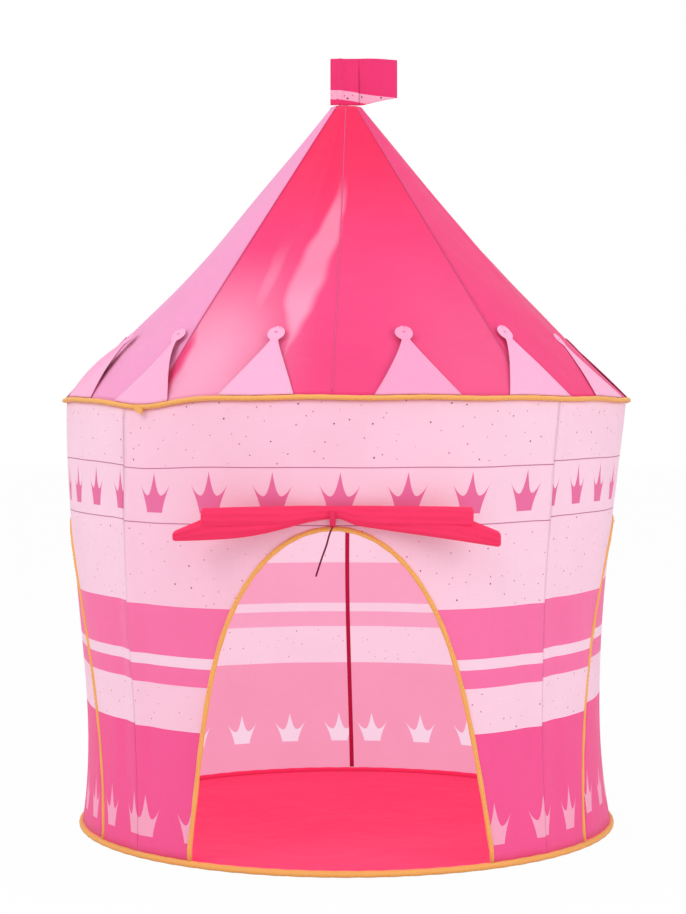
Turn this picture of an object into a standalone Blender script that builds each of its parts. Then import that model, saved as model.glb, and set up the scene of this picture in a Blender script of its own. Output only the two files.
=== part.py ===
"""Kids play tent: a round castle tent of printed cloth on hoops and poles.

Units are metres and +Z is up. The origin is the centre of the floor, on the
ground. The door faces -Y. Angles round the tent are in degrees: 0 is the door
and 90 is the tent's +X side.
"""

import math

import bmesh
import bpy
from mathutils import Matrix, Vector

# Cloth
CLOTH_THICKNESS = 0.0016
TRIM_THICKNESS = 0.0012
CLEARANCE = 0.0003
SEAM_GAP = 0.0006
MERGE_DISTANCE = 0.00003

# Wall
BASE_RADIUS = 0.490
EAVE_RADIUS = 0.5155
EAVE_HEIGHT = 0.780
WAIST_DEPTH = 0.0185
WAIST_NORM = 6.75
SQUARENESS_SHARE = 0.012
WALL_SEAM_ANGLE = 45.0
WALL_ROWS = 8
WALL_COLUMNS = 12

# Hoops and the binding folded round them
RING_STEPS = 48
HOOP_WIRE_RADIUS = 0.0036
HOOP_BINDING_RADIUS = 0.0055
HOOP_SETBACK = 0.0035
BINDING_SIDES = 6
BINDING_SLIT_ANGLE = 30.0

# Doorway and the two side arches, one shape
ARCH_WIDTH = 0.51
ARCH_HEIGHT = 0.568
ARCH_TAPER_SHARE = 0.30
ARCH_SHOULDER_POWER = 4.5
ARCH_SIDE_STEPS = 12
ARCH_WIRE_RADIUS = 0.0026
ARCH_BINDING_RADIUS = 0.0041
ARCH_BINDING_THICKNESS = 0.0010
CUT_OVERRUN = 0.12
CUTTER_DEPTH_SHARE = 0.5
CUTTER_PLACE_SHARE = 0.75
CURTAIN_CLEARANCE = 0.0010
CURTAIN_TIP_WIDTH = 0.04
CURTAIN_ROW_POWER = 2.0
CURTAIN_ROWS = 10
CURTAIN_COLUMNS = 6

# Roof
ROOF_SEAM_ANGLE = 37.5
APEX_RADIUS = 0.026
APEX_HEIGHT = 1.326
ROOF_HOLLOW = 0.015
ROOF_FOLD_DEPTH = 0.0025
ROOF_FOLDS = 3
ROOF_FOLD_START_SHARE = 0.35
ROOF_ROWS = 9
CAP_RADIUS = 0.029

# Flaps that stand on the eave seam
FRONT_LEFT_FLAPS = 2
FLAP_ANGLES = (14.7, 40.4, 65.2, 90.0, 114.8, 140.5, 166.0)
FLAP_WIDTH = 0.141
FLAP_LENGTH = 0.156
FLAP_NECK_WIDTH = 0.014
FLAP_KNOB_WIDTH = 0.030
FLAP_KNOB_SHARE = 0.80
FLAP_HOLLOW_POWER = 1.12
FLAP_LIFT = 0.0027
FLAP_SEAT = 0.0007
FLAP_CURL = 0.006
FLAP_ROWS = 9
FLAP_COLUMNS = 4

# Poles and their plastic fittings
POLE_ANGLE = 43.0
POLE_RADIUS = 0.0045
POLE_BORE_RADIUS = 0.0033
POLE_SIDES = 10
POLE_WALL_GAP = 0.0040
SPIGOT_RADIUS = 0.0029
SPIGOT_LENGTH = 0.018
FOOT_RADIUS = 0.0095
FOOT_HEIGHT = 0.006
FOOT_EDGE_SHARE = 0.33
ELBOW_RADIUS = 0.0062
ELBOW_LOWER_DROP = 0.029
ELBOW_BEND_LENGTH = 0.022
ELBOW_STEPS = 5
ROOF_POLE_DROP = 0.0205

# Hub under the apex
HUB_RADIUS = 0.034
HUB_BOTTOM_DROP = 0.050
HUB_SHOULDER_DROP = 0.013
HUB_TOP_DROP = 0.004
HUB_TOP_RADIUS = 0.018
HUB_STEPS = 24
POLE_END_RADIUS = 0.024

# Flag and its stick
STICK_OFFSET = 0.012
STICK_RADIUS = 0.0025
STICK_SOCKET_DEPTH = 0.014
FLAG_HEIGHT = 0.086
FLAG_FLY = 0.106
FLAG_HEM = 0.018
FLAG_THICKNESS = 0.0022
FLAG_SLEEVE_RADIUS = 0.0042
FLAG_NOTCH_FLY = 0.042
FLAG_CORNER_RISE = 0.013

# Rolled door and its tie
ROLL_LENGTH = 0.536
ROLL_UPPER_LENGTH = 0.445
ROLL_RISE = 0.004
ROLL_HALF_HEIGHT = 0.026
ROLL_HALF_DEPTH = 0.016
ROLL_PINCH_SHARE = 0.42
ROLL_PINCH_WIDTH = 0.07
ROLL_WAIST_SHARE = 0.25
ROLL_STEP_SHARE = 0.8
ROLL_STATIONS = 16
ROLL_SIDES = 12
BAND_WIDTH = 0.012
BAND_PLACE = -0.010
CORD_RADIUS = 0.0015
CORD_POINTS = 12
ROUTE_PARTS = 12
CORD_ROUTE = (
    (0.0, 0.0, 0.0), (-0.005, -0.003, -0.012), (-0.010, -0.002, -0.030),
    (-0.018, 0.002, -0.052), (-0.027, 0.004, -0.080),
)

# Tape along the seam inside the back wall
TAPE_WIDTH = 0.008

PART_COLLECTION = "kids_play_tent"
CUTTER_COLLECTION = "kids_play_tent_cutters"


# Scene set-up
def clear_scene():
    """Remove every object, so the script can be run again."""
    for item in list(bpy.data.objects):
        bpy.data.objects.remove(item, do_unlink=True)


def new_collection(name):
    """Make a collection under the scene."""
    collection = bpy.data.collections.new(name)
    bpy.context.scene.collection.children.link(collection)
    return collection


def new_material(name, colour, roughness, metallic=0.0):
    """Make a Principled material."""
    material = bpy.data.materials.new(name)
    material.use_nodes = True
    shader = material.node_tree.nodes["Principled BSDF"]
    shader.inputs["Base Color"].default_value = (*colour, 1.0)
    shader.inputs["Roughness"].default_value = roughness
    shader.inputs["Metallic"].default_value = metallic
    return material


# Shape of the tent
def polar(angle, radius, height):
    """Point at an angle round the tent, a distance from its axis and a height."""
    turn = math.radians(angle)
    return Vector((radius * math.sin(turn), -radius * math.cos(turn), height))


def wall_radius(angle, height):
    """Distance of the wall from the axis: drawn in at the waist, squarer there."""
    share = min(max(height / EAVE_HEIGHT, 0.0), 1.0)
    waist = WAIST_NORM * share * (1.0 - share) ** 2
    radius = BASE_RADIUS * (1.0 - share) + EAVE_RADIUS * share - WAIST_DEPTH * waist
    corner = math.cos(math.radians(4.0 * (angle - WALL_SEAM_ANGLE)))
    return radius * (1.0 + SQUARENESS_SHARE * waist * corner)


def wall_point(angle, height, inward=0.0):
    """Point on the wall, or a distance inside it."""
    return polar(angle, wall_radius(angle, height) - inward, height)


def arch_half_width(height):
    """Half the width of an arch at a height: splayed legs under a round head."""
    share = min(max(height / ARCH_HEIGHT, 0.0), 1.0)
    head = math.sqrt(max(0.0, 1.0 - share ** ARCH_SHOULDER_POWER))
    return ARCH_WIDTH / 2.0 * (1.0 - ARCH_TAPER_SHARE * share) * head


def resample(points, count):
    """Spread a number of points evenly along a line of points."""
    lengths = [0.0]
    for first, second in zip(points, points[1:]):
        lengths.append(lengths[-1] + (second - first).length)
    spread = []
    index = 0
    for step in range(count):
        target = lengths[-1] * step / (count - 1)
        while index < len(points) - 2 and lengths[index + 1] < target:
            index += 1
        run = lengths[index + 1] - lengths[index]
        share = (target - lengths[index]) / run if run else 0.0
        spread.append(points[index].lerp(points[index + 1], share))
    return spread


def arch_outline():
    """Points (across, up) along an arch, from its left foot to its right foot."""
    bottom = HOOP_BINDING_RADIUS * 2.0 + CLEARANCE * 2.0
    points = []
    for step in range(-ARCH_SIDE_STEPS, ARCH_SIDE_STEPS + 1):
        share = 1.0 - (step / ARCH_SIDE_STEPS) ** 2
        height = bottom + (ARCH_HEIGHT - bottom) * share
        across = math.copysign(arch_half_width(height), step)
        points.append(Vector((across, height)))
    return points


def arch_edge(height):
    """Half the width of the arch's own outline at a height, between its points."""
    right = arch_outline()[ARCH_SIDE_STEPS:]
    for upper, lower in zip(right, right[1:]):
        if lower.y <= height <= upper.y:
            share = (upper.y - height) / (upper.y - lower.y)
            return upper.x + (lower.x - upper.x) * share
    return right[-1].x


def shifted_outline(points, distance):
    """An outline moved sideways, away from the opening it goes round."""
    moved = []
    for index, point in enumerate(points):
        before = points[max(index - 1, 0)]
        after = points[min(index + 1, len(points) - 1)]
        along = (after - before).normalized()
        moved.append(point + Vector((-along.y, along.x)) * distance)
    return moved


def arch_point(facing, across, height, inward=0.0):
    """Point on the wall, a distance across from the middle of an arch."""
    radius = wall_radius(facing, height) - inward
    offset = 0.0
    for _ in range(4):
        offset = math.degrees(math.asin(across / radius))
        radius = wall_radius(facing + offset, height) - inward
    return polar(facing + offset, radius, height)


def roof_point(angle, share, lift=0.0):
    """Point on the roof: share 0 is the eave, 1 is the apex; lift is outward."""
    radius = EAVE_RADIUS * (1.0 - share) + APEX_RADIUS * share
    height = roof_bottom() * (1.0 - share) + APEX_HEIGHT * share
    slope = math.atan2(APEX_HEIGHT - roof_bottom(), EAVE_RADIUS - APEX_RADIUS)
    middle, half = roof_panel_of(angle)
    place = (angle - middle) / half
    swell = math.sin(math.pi * share)
    hollow = ROOF_HOLLOW * swell * (1.0 - place * place)
    fold_room = max(0.0, share - ROOF_FOLD_START_SHARE) * (1.0 - share)
    fold = ROOF_FOLD_DEPTH * math.sin(math.pi * ROOF_FOLDS * place) * 4.0 * fold_room
    outward = lift - hollow + fold
    return polar(angle, radius + outward * math.sin(slope), height + outward * math.cos(slope))


def roof_panel_of(angle):
    """Middle angle and half span of the roof panel that an angle lies in."""
    wrapped = (angle + 180.0) % 360.0 - 180.0
    if abs(wrapped) <= ROOF_SEAM_ANGLE:
        return angle - wrapped, ROOF_SEAM_ANGLE
    if abs(wrapped) >= 180.0 - ROOF_SEAM_ANGLE:
        return angle - wrapped + math.copysign(180.0, wrapped), ROOF_SEAM_ANGLE
    return angle - wrapped + math.copysign(90.0, wrapped), 90.0 - ROOF_SEAM_ANGLE


def roof_bottom():
    """Height of the roof's lower edge, just above the eave binding."""
    reach = math.sqrt(HOOP_BINDING_RADIUS ** 2 - HOOP_SETBACK ** 2)
    return EAVE_HEIGHT + reach + CLEARANCE * 2.0


def wall_top():
    """Height of the wall's upper edge, just under the eave binding."""
    reach = math.sqrt(HOOP_BINDING_RADIUS ** 2 - HOOP_SETBACK ** 2)
    return EAVE_HEIGHT - reach - CLEARANCE * 2.0


def pole_circle():
    """Radius at which the uprights stand, clear of the wall where it is narrowest."""
    narrowest = min(wall_radius(POLE_ANGLE, EAVE_HEIGHT * step / WALL_ROWS) for step in range(WALL_ROWS))
    facet = math.cos(math.pi / RING_STEPS)
    return narrowest * facet - CLOTH_THICKNESS / 2.0 - POLE_RADIUS - POLE_WALL_GAP


def elbow_bottom():
    """Height at which an upright ends in its elbow, below the eave."""
    return EAVE_HEIGHT - ELBOW_LOWER_DROP


def roll_height():
    """Height of the rolled door's middle line, at the head of the doorway."""
    return ARCH_HEIGHT + ROLL_RISE


def hub_height(drop):
    """Height in the hub, measured down from the apex."""
    return APEX_HEIGHT - drop


def roof_pole_point(radius):
    """Point on a roof pole's centre line, in the plane of the pole."""
    rise = APEX_HEIGHT - roof_bottom()
    run = EAVE_RADIUS - APEX_RADIUS
    height = APEX_HEIGHT - ROOF_POLE_DROP - (radius - APEX_RADIUS) * rise / run
    return radius, height


# Mesh helpers
def link(mesh, name, collection, material):
    """Put a mesh in the scene as a named object."""
    item = bpy.data.objects.new(name, mesh)
    item.data.materials.append(material)
    collection.objects.link(item)
    return item


def mapped_grid(name, columns, rows, place, joined=False):
    """A grid whose corners are placed by a function of two shares from 0 to 1."""
    mesh = bpy.data.meshes.new(name)
    shape = bmesh.new()
    bmesh.ops.create_grid(shape, x_segments=columns, y_segments=rows, size=1.0)
    for vertex in shape.verts:
        vertex.co = place((vertex.co.x + 1.0) / 2.0, (vertex.co.y + 1.0) / 2.0)
    if joined:
        bmesh.ops.remove_doubles(shape, verts=shape.verts, dist=MERGE_DISTANCE)
    shape.to_mesh(mesh)
    shape.free()
    mesh.shade_smooth()
    return mesh


def solidify(item, thickness):
    """Give an open sheet its thickness, half to each side."""
    modifier = item.modifiers.new("Thickness", 'SOLIDIFY')
    modifier.thickness = thickness
    modifier.offset = 0.0
    modifier.use_even_offset = True
    return modifier


def cloth(name, columns, rows, place, thickness, collection, material, joined=False):
    """A closed solid of cloth over a mapped grid."""
    mesh = mapped_grid(name, columns, rows, place, joined)
    item = link(mesh, name, collection, material)
    solidify(item, thickness)
    return item


def tube(name, points, radius, collection, material, cyclic=False, shares=None):
    """A round rod along points, with an optional share of the radius at each."""
    curve = bpy.data.curves.new(name, 'CURVE')
    curve.dimensions = '3D'
    curve.bevel_depth = radius
    curve.bevel_resolution = 1
    curve.use_fill_caps = not cyclic
    spline = curve.splines.new('POLY')
    spline.points.add(len(points) - 1)
    for index, point in enumerate(points):
        spline.points[index].co = (*point, 1.0)
        if shares:
            spline.points[index].radius = shares[index]
    spline.use_cyclic_u = cyclic
    item = bpy.data.objects.new(name, curve)
    curve.materials.append(material)
    collection.objects.link(item)
    return item


def turned(name, profile, steps, collection, material):
    """A turned piece: its profile runs down its outer side and is spun round Z."""
    mesh = bpy.data.meshes.new(name)
    vertices = [(radius, 0.0, height) for radius, height in profile]
    edges = [(index, index + 1) for index in range(len(profile) - 1)]
    if profile[0][0] > 0.0:
        edges.append((len(profile) - 1, 0))
    mesh.from_pydata(vertices, edges, [])
    item = link(mesh, name, collection, material)
    screw = item.modifiers.new("Turn", 'SCREW')
    screw.steps = steps
    screw.render_steps = steps
    screw.use_merge_vertices = True
    screw.merge_threshold = CLEARANCE / 10.0
    screw.use_smooth_shade = False
    return item


def prism(name, outline, depth, collection, material):
    """A flat outline in the XZ plane, filled and made thick along Y."""
    curve = bpy.data.curves.new(name + "_outline", 'CURVE')
    curve.dimensions = '2D'
    curve.fill_mode = 'BOTH'
    curve.extrude = depth / 2.0
    spline = curve.splines.new('POLY')
    spline.points.add(len(outline) - 1)
    for index, point in enumerate(outline):
        spline.points[index].co = (point[0], point[1], 0.0, 1.0)
    spline.use_cyclic_u = True
    guide = bpy.data.objects.new(name + "_outline", curve)
    collection.objects.link(guide)
    bpy.context.view_layer.update()
    evaluated = guide.evaluated_get(bpy.context.evaluated_depsgraph_get())
    mesh = bpy.data.meshes.new_from_object(evaluated)
    bpy.data.objects.remove(guide, do_unlink=True)
    shape = bmesh.new()
    shape.from_mesh(mesh)
    bmesh.ops.remove_doubles(shape, verts=shape.verts, dist=MERGE_DISTANCE)
    bmesh.ops.transform(shape, matrix=Matrix.Rotation(math.pi / 2.0, 4, 'X'), verts=shape.verts)
    bmesh.ops.recalc_face_normals(shape, faces=shape.faces)
    shape.to_mesh(mesh)
    shape.free()
    mesh.name = name
    mesh.materials.clear()
    return link(mesh, name, collection, material)


def rod(name, radius, depth, sides, collection, material):
    """A round bar along Z, centred on its origin."""
    mesh = bpy.data.meshes.new(name)
    shape = bmesh.new()
    bmesh.ops.create_cone(
        shape, cap_ends=True, segments=sides, radius1=radius, radius2=radius, depth=depth
    )
    shape.to_mesh(mesh)
    shape.free()
    return link(mesh, name, collection, material)


def cut(item, cutter, operation='DIFFERENCE'):
    """Cut or join one solid with another."""
    cutter.hide_render = True
    cutter.display_type = 'WIRE'
    modifier = item.modifiers.new(operation.title() + " " + cutter.name, 'BOOLEAN')
    modifier.operation = operation
    modifier.solver = 'EXACT'
    modifier.object = cutter


# Hoops
def add_hoop(name, radius, height, slit_angle, part, steel, tape):
    """A spring-wire hoop and the tape folded round it, open along one slit."""
    points = [polar(360.0 * step / RING_STEPS, radius, height) for step in range(RING_STEPS)]
    tube(name + "_hoop_wire", points, HOOP_WIRE_RADIUS, part, steel, cyclic=True)
    middle_radius = HOOP_BINDING_RADIUS - TRIM_THICKNESS / 2.0

    def place(along, around):
        turn = math.radians(slit_angle + BINDING_SLIT_ANGLE / 2.0
                            + around * (360.0 - BINDING_SLIT_ANGLE))
        out = middle_radius * math.cos(turn)
        up = middle_radius * math.sin(turn)
        return polar(360.0 * along, radius + out, height + up)

    cloth(name + "_binding", RING_STEPS, BINDING_SIDES, place, TRIM_THICKNESS, part, tape, joined=True)


# Wall
def add_wall(name, facing, part, printed, cutter=None):
    """One wall panel, with its arch cut out if it has one."""
    bottom = HOOP_BINDING_RADIUS * 2.0 + CLEARANCE * 2.0

    def place(along, up):
        height = bottom + (wall_top() - bottom) * up
        gap = math.degrees(SEAM_GAP / 2.0 / wall_radius(facing + WALL_SEAM_ANGLE, height))
        half = WALL_SEAM_ANGLE - gap
        return wall_point(facing + (2.0 * along - 1.0) * half, height)

    item = cloth(name, WALL_COLUMNS, WALL_ROWS, place, CLOTH_THICKNESS, part, printed)
    if cutter:
        cut(item, cutter)
    return item


def add_arch_cutter(name, facing, cutters, material):
    """The solid that cuts an arch out of the wall panel that faces an angle."""
    reach = ARCH_BINDING_RADIUS + CLEARANCE * 2.0
    sides = shifted_outline(arch_outline(), reach)
    low = -HOOP_BINDING_RADIUS
    outline = [Vector((sides[0].x, low))] + sides + [Vector((sides[-1].x, low))]
    cutter = prism(name, outline, CUT_OVERRUN * 2.0 + EAVE_RADIUS * CUTTER_DEPTH_SHARE, cutters, material)
    cutter.location = polar(facing, EAVE_RADIUS * CUTTER_PLACE_SHARE + CUT_OVERRUN, 0.0)
    cutter.rotation_euler = (0.0, 0.0, math.radians(facing))
    return cutter


def add_arch(name, facing, part, steel, tape):
    """A spring wire round an arch and the tape folded round wire and cloth edge."""
    outline = arch_outline()
    path = [arch_point(facing, point.x, point.y) for point in outline]
    tube(name + "_wire", path, ARCH_WIRE_RADIUS, part, steel)
    middle_radius = ARCH_BINDING_RADIUS - ARCH_BINDING_THICKNESS / 2.0
    frames = []
    for index, point in enumerate(path):
        along = (path[min(index + 1, len(path) - 1)] - path[max(index - 1, 0)]).normalized()
        surface = Vector((point.x, point.y, 0.0)).normalized()
        sideways = along.cross(surface).normalized()
        surface = sideways.cross(along).normalized()
        frames.append((point, sideways, surface))

    def place(share, around):
        point, sideways, surface = frames[round(share * (len(frames) - 1))]
        turn = math.radians(180.0 + BINDING_SLIT_ANGLE / 2.0 + around * (360.0 - BINDING_SLIT_ANGLE))
        return point + middle_radius * (sideways * math.cos(turn) + surface * math.sin(turn))

    cloth(name + "_binding", len(path) - 1, BINDING_SIDES, place, ARCH_BINDING_THICKNESS, part, tape)


def add_curtain(name, facing, part, printed):
    """The cloth panel that fills a side arch and hangs from the head of it."""
    inset = ARCH_BINDING_RADIUS + CURTAIN_CLEARANCE
    low = HOOP_BINDING_RADIUS * 2.0 + CLEARANCE * 2.0
    high = ARCH_HEIGHT
    while arch_edge(high) < CURTAIN_TIP_WIDTH / 2.0:
        high -= CLEARANCE
    high -= inset
    hinge = arch_point(facing, 0.0, high)

    def place(along, up):
        rise = 1.0 - (1.0 - up) ** CURTAIN_ROW_POWER
        height = low + (high - low) * rise
        half = arch_edge(height + inset * rise) - inset
        return arch_point(facing, (2.0 * along - 1.0) * half, height) - hinge

    item = cloth(name, CURTAIN_COLUMNS, CURTAIN_ROWS, place, CLOTH_THICKNESS, part, printed)
    item.location = hinge
    return item


# Roof
def add_roof_panel(name, facing, half_span, part, material):
    """One roof panel from the eave to the apex, hollow between its seams."""
    columns = round(half_span * 2.0 / (360.0 / RING_STEPS))

    def place(along, up):
        radius = EAVE_RADIUS * (1.0 - up) + APEX_RADIUS * up
        gap = math.degrees(SEAM_GAP / 2.0 / radius)
        angle = facing + (2.0 * along - 1.0) * (half_span - gap)
        return roof_point(angle, up)

    return cloth(name, columns, ROOF_ROWS, place, CLOTH_THICKNESS, part, material)


def flap_half_width(share):
    """Half the width of a flap: hollow sides up to a neck, then a round knob."""
    if share < FLAP_KNOB_SHARE:
        rise = share / FLAP_KNOB_SHARE
        spread = (1.0 - rise) ** FLAP_HOLLOW_POWER
        return FLAP_NECK_WIDTH / 2.0 + (FLAP_WIDTH - FLAP_NECK_WIDTH) / 2.0 * spread
    knob = (share - FLAP_KNOB_SHARE) / (1.0 - FLAP_KNOB_SHARE)
    round_share = math.sqrt(max(0.0, 1.0 - (2.0 * knob - 1.0) ** 2))
    return max(FLAP_NECK_WIDTH, FLAP_KNOB_WIDTH * round_share) / 2.0


def add_flap(name, facing, part, material):
    """A pale pointed flap that rises from the eave seam along the roof."""
    slant = math.hypot(EAVE_RADIUS - APEX_RADIUS, APEX_HEIGHT - roof_bottom())

    def place(across, up):
        share = (up * FLAP_LENGTH - FLAP_SEAT) / slant
        radius = EAVE_RADIUS * (1.0 - share) + APEX_RADIUS * share
        offset = (2.0 * across - 1.0) * flap_half_width(up)
        angle = facing + math.degrees(offset / radius)
        lift = FLAP_LIFT + FLAP_CURL * up * up
        return roof_point(angle, share, lift)

    return cloth(name, FLAP_COLUMNS, FLAP_ROWS, place, TRIM_THICKNESS, part, material)


def flap_angles():
    """Angles of the flaps, from the one at the front left ridge round to the right."""
    left = [-angle for angle in reversed(FLAP_ANGLES)]
    first = len(FLAP_ANGLES) - FRONT_LEFT_FLAPS
    return left[first:] + list(FLAP_ANGLES) + left[:first]


# Poles
def pole_tube(name, start, end, part, material):
    """A hollow pole between two points."""
    length = (end - start).length
    profile = [
        (POLE_RADIUS, length), (POLE_RADIUS, 0.0),
        (POLE_BORE_RADIUS, 0.0), (POLE_BORE_RADIUS, length),
    ]
    item = turned(name, profile, POLE_SIDES, part, material)
    item.location = start
    item.rotation_mode = 'QUATERNION'
    item.rotation_quaternion = (end - start).to_track_quat('Z', 'Y')
    return item


def add_corner(name, angle, part, fibre, plastic):
    """One corner of the frame: foot, upright, elbow and roof pole."""
    foot_low = CLOTH_THICKNESS + CLEARANCE * 2.0
    foot_top = foot_low + FOOT_HEIGHT
    foot = turned(name + "_foot", [
        (0.0, foot_top + SPIGOT_LENGTH), (SPIGOT_RADIUS, foot_top + SPIGOT_LENGTH),
        (SPIGOT_RADIUS, foot_top), (FOOT_RADIUS, foot_top - FOOT_HEIGHT * FOOT_EDGE_SHARE),
        (FOOT_RADIUS, foot_low), (0.0, foot_low),
    ], POLE_SIDES, part, plastic)
    foot.location = polar(angle, pole_circle(), 0.0)
    upright_low = polar(angle, pole_circle(), foot_top + CLEARANCE)
    upright_high = polar(angle, pole_circle(), elbow_bottom() - CLEARANCE)
    pole_tube(name + "_upright", upright_low, upright_high, part, fibre)

    end_radius, end_height = roof_pole_point(POLE_END_RADIUS)
    far_radius, far_height = roof_pole_point(pole_circle() - ELBOW_BEND_LENGTH)
    roof_end = polar(angle, end_radius, end_height)
    roof_start = polar(angle, far_radius, far_height)
    climb = (roof_end - roof_start).normalized()
    pole_tube(name + "_roof_pole", roof_start + climb * CLEARANCE, roof_end, part, fibre)

    lower = polar(angle, pole_circle(), elbow_bottom())
    upper = roof_start
    rise = Vector((0.0, 0.0, 1.0))
    bend_radius, bend_height = roof_pole_point(pole_circle())
    bend = polar(angle, bend_radius, bend_height)
    step = CLEARANCE / 2.0
    points = [lower - rise * SPIGOT_LENGTH, lower - rise * step, lower + rise * step]
    for index in range(1, ELBOW_STEPS):
        share = index / ELBOW_STEPS
        points.append(lower.lerp(bend, share).lerp(bend.lerp(upper, share), share))
    points += [upper - climb * step, upper + climb * step, upper + climb * SPIGOT_LENGTH]
    thin = SPIGOT_RADIUS / ELBOW_RADIUS
    shares = [thin, thin] + [1.0] * (len(points) - 4) + [thin, thin]
    tube(name + "_elbow", points, ELBOW_RADIUS, part, plastic, shares=shares)
    return roof_start, roof_end


def add_hub(poles, part, cutters, plastic):
    """The hub that the four roof poles and the flag stick plug into."""
    hub = turned("apex_hub", [
        (0.0, hub_height(HUB_TOP_DROP)), (HUB_TOP_RADIUS, hub_height(HUB_TOP_DROP)),
        (HUB_RADIUS, hub_height(HUB_SHOULDER_DROP)), (HUB_RADIUS, hub_height(HUB_BOTTOM_DROP)),
        (0.0, hub_height(HUB_BOTTOM_DROP)),
    ], HUB_STEPS, part, plastic)
    reach = HUB_RADIUS * 2.0
    for index, (start, end) in enumerate(poles):
        climb = (end - start).normalized()
        tip = end + climb * CLEARANCE
        cutter = rod(f"hub_socket_{index + 1}", POLE_RADIUS + CLEARANCE * 2.0, reach, HUB_STEPS, cutters,
                     plastic)
        cutter.location = tip - climb * reach / 2.0
        cutter.rotation_mode = 'QUATERNION'
        cutter.rotation_quaternion = climb.to_track_quat('Z', 'Y')
        cut(hub, cutter)
    stick_bottom = hub_height(HUB_TOP_DROP + STICK_SOCKET_DEPTH)
    socket = rod("stick_socket", STICK_RADIUS + CLEARANCE, reach, HUB_STEPS, cutters, plastic)
    socket.location = (-STICK_OFFSET, 0.0, stick_bottom + reach / 2.0)
    cut(hub, socket)
    return stick_bottom


def add_flag(stick_bottom, part, cutters, cloth_material, cap_material, plastic):
    """The cap over the apex, the stick through it and the flag that turns on it."""
    cap_low = APEX_HEIGHT + CLOTH_THICKNESS / 2.0 + CLEARANCE
    cap = rod("apex_cap", CAP_RADIUS, CLOTH_THICKNESS, HUB_STEPS, part, cap_material)
    cap.location = (0.0, 0.0, cap_low + CLOTH_THICKNESS / 2.0)
    hole = rod("cap_hole", STICK_RADIUS + CLEARANCE, HUB_RADIUS, HUB_STEPS, cutters, plastic)
    hole.location = (-STICK_OFFSET, 0.0, cap_low)
    cut(cap, hole)

    flag_low = cap_low + CLOTH_THICKNESS + CLEARANCE
    stick_low = stick_bottom + CLEARANCE
    stick_high = flag_low + FLAG_HEIGHT
    stick = rod("flag_stick", STICK_RADIUS, stick_high - stick_low, POLE_SIDES, part, plastic)
    stick.location = (-STICK_OFFSET, 0.0, (stick_high + stick_low) / 2.0)

    outline = [
        (-FLAG_HEM, 0.0), (FLAG_NOTCH_FLY, 0.0), (FLAG_FLY, FLAG_CORNER_RISE),
        (FLAG_FLY, FLAG_HEIGHT), (-FLAG_HEM, FLAG_HEIGHT),
    ]
    flag = prism("flag", outline, FLAG_THICKNESS, part, cloth_material)
    flag.location = (-STICK_OFFSET, 0.0, flag_low)
    sleeve = rod("flag_sleeve", FLAG_SLEEVE_RADIUS, FLAG_HEIGHT, HUB_STEPS, cutters, cloth_material)
    sleeve.location = (-STICK_OFFSET, 0.0, flag_low + FLAG_HEIGHT / 2.0)
    cut(flag, sleeve, 'UNION')
    bore = rod("flag_bore", STICK_RADIUS + CLEARANCE, FLAG_HEIGHT * 2.0, HUB_STEPS, cutters,
               cloth_material)
    bore.location = sleeve.location
    cut(flag, bore)


# Rolled door
def roll_size(across):
    """Share of the roll's full thickness at a place along it: pinched by the tie."""
    pinch = math.exp(-((across - BAND_PLACE) / ROLL_PINCH_WIDTH) ** 2)
    return 1.0 - (1.0 - ROLL_PINCH_SHARE) * pinch


def roll_section(across, turn):
    """Depth and height of a point round the roll: two layers, the upper shorter."""
    size = roll_size(across)
    depth = ROLL_HALF_DEPTH * math.cos(turn)
    height = ROLL_HALF_HEIGHT * math.sin(turn)
    waist = 1.0 - ROLL_WAIST_SHARE * math.exp(-(3.0 * math.sin(turn)) ** 2)
    overhang = max(0.0, abs(across) - ROLL_UPPER_LENGTH / 2.0)
    short_by = (ROLL_LENGTH - ROLL_UPPER_LENGTH) / 2.0
    if height > 0.0:
        height *= 1.0 - min(1.0, overhang / short_by * 2.0) * ROLL_STEP_SHARE
    return depth * waist * size, height * size


def band_growth():
    """How far the tie band's middle lies outside the roll."""
    return CLEARANCE * 3.0 + TRIM_THICKNESS / 2.0


def roll_front():
    """How far in front of the axis the rolled door's middle line lies."""
    band = band_growth() + TRIM_THICKNESS / 2.0 + CLEARANCE
    behind = max(roll_section(BAND_PLACE + BAND_WIDTH / 2.0, math.tau * step / ROLL_SIDES)[0]
                 for step in range(ROLL_SIDES))
    flat = math.radians((360.0 - BINDING_SLIT_ANGLE) / BINDING_SIDES / 2.0)
    binding = ARCH_BINDING_RADIUS * math.cos(flat)
    return wall_radius(0.0, ARCH_HEIGHT) + binding + band + behind


def capped_tube(name, stations, sides, place, collection, material):
    """A closed body: a grid rolled into a tube, with both of its ends filled."""
    mesh = bpy.data.meshes.new(name)
    shape = bmesh.new()
    bmesh.ops.create_grid(shape, x_segments=stations, y_segments=sides, size=1.0)
    for vertex in shape.verts:
        vertex.co = place((vertex.co.x + 1.0) / 2.0, (vertex.co.y + 1.0) / 2.0)
    bmesh.ops.remove_doubles(shape, verts=shape.verts, dist=MERGE_DISTANCE)
    ends = [edge for edge in shape.edges if edge.is_boundary]
    bmesh.ops.holes_fill(shape, edges=ends)
    bmesh.ops.recalc_face_normals(shape, faces=shape.faces)
    shape.to_mesh(mesh)
    shape.free()
    return link(mesh, name, collection, material)


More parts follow.
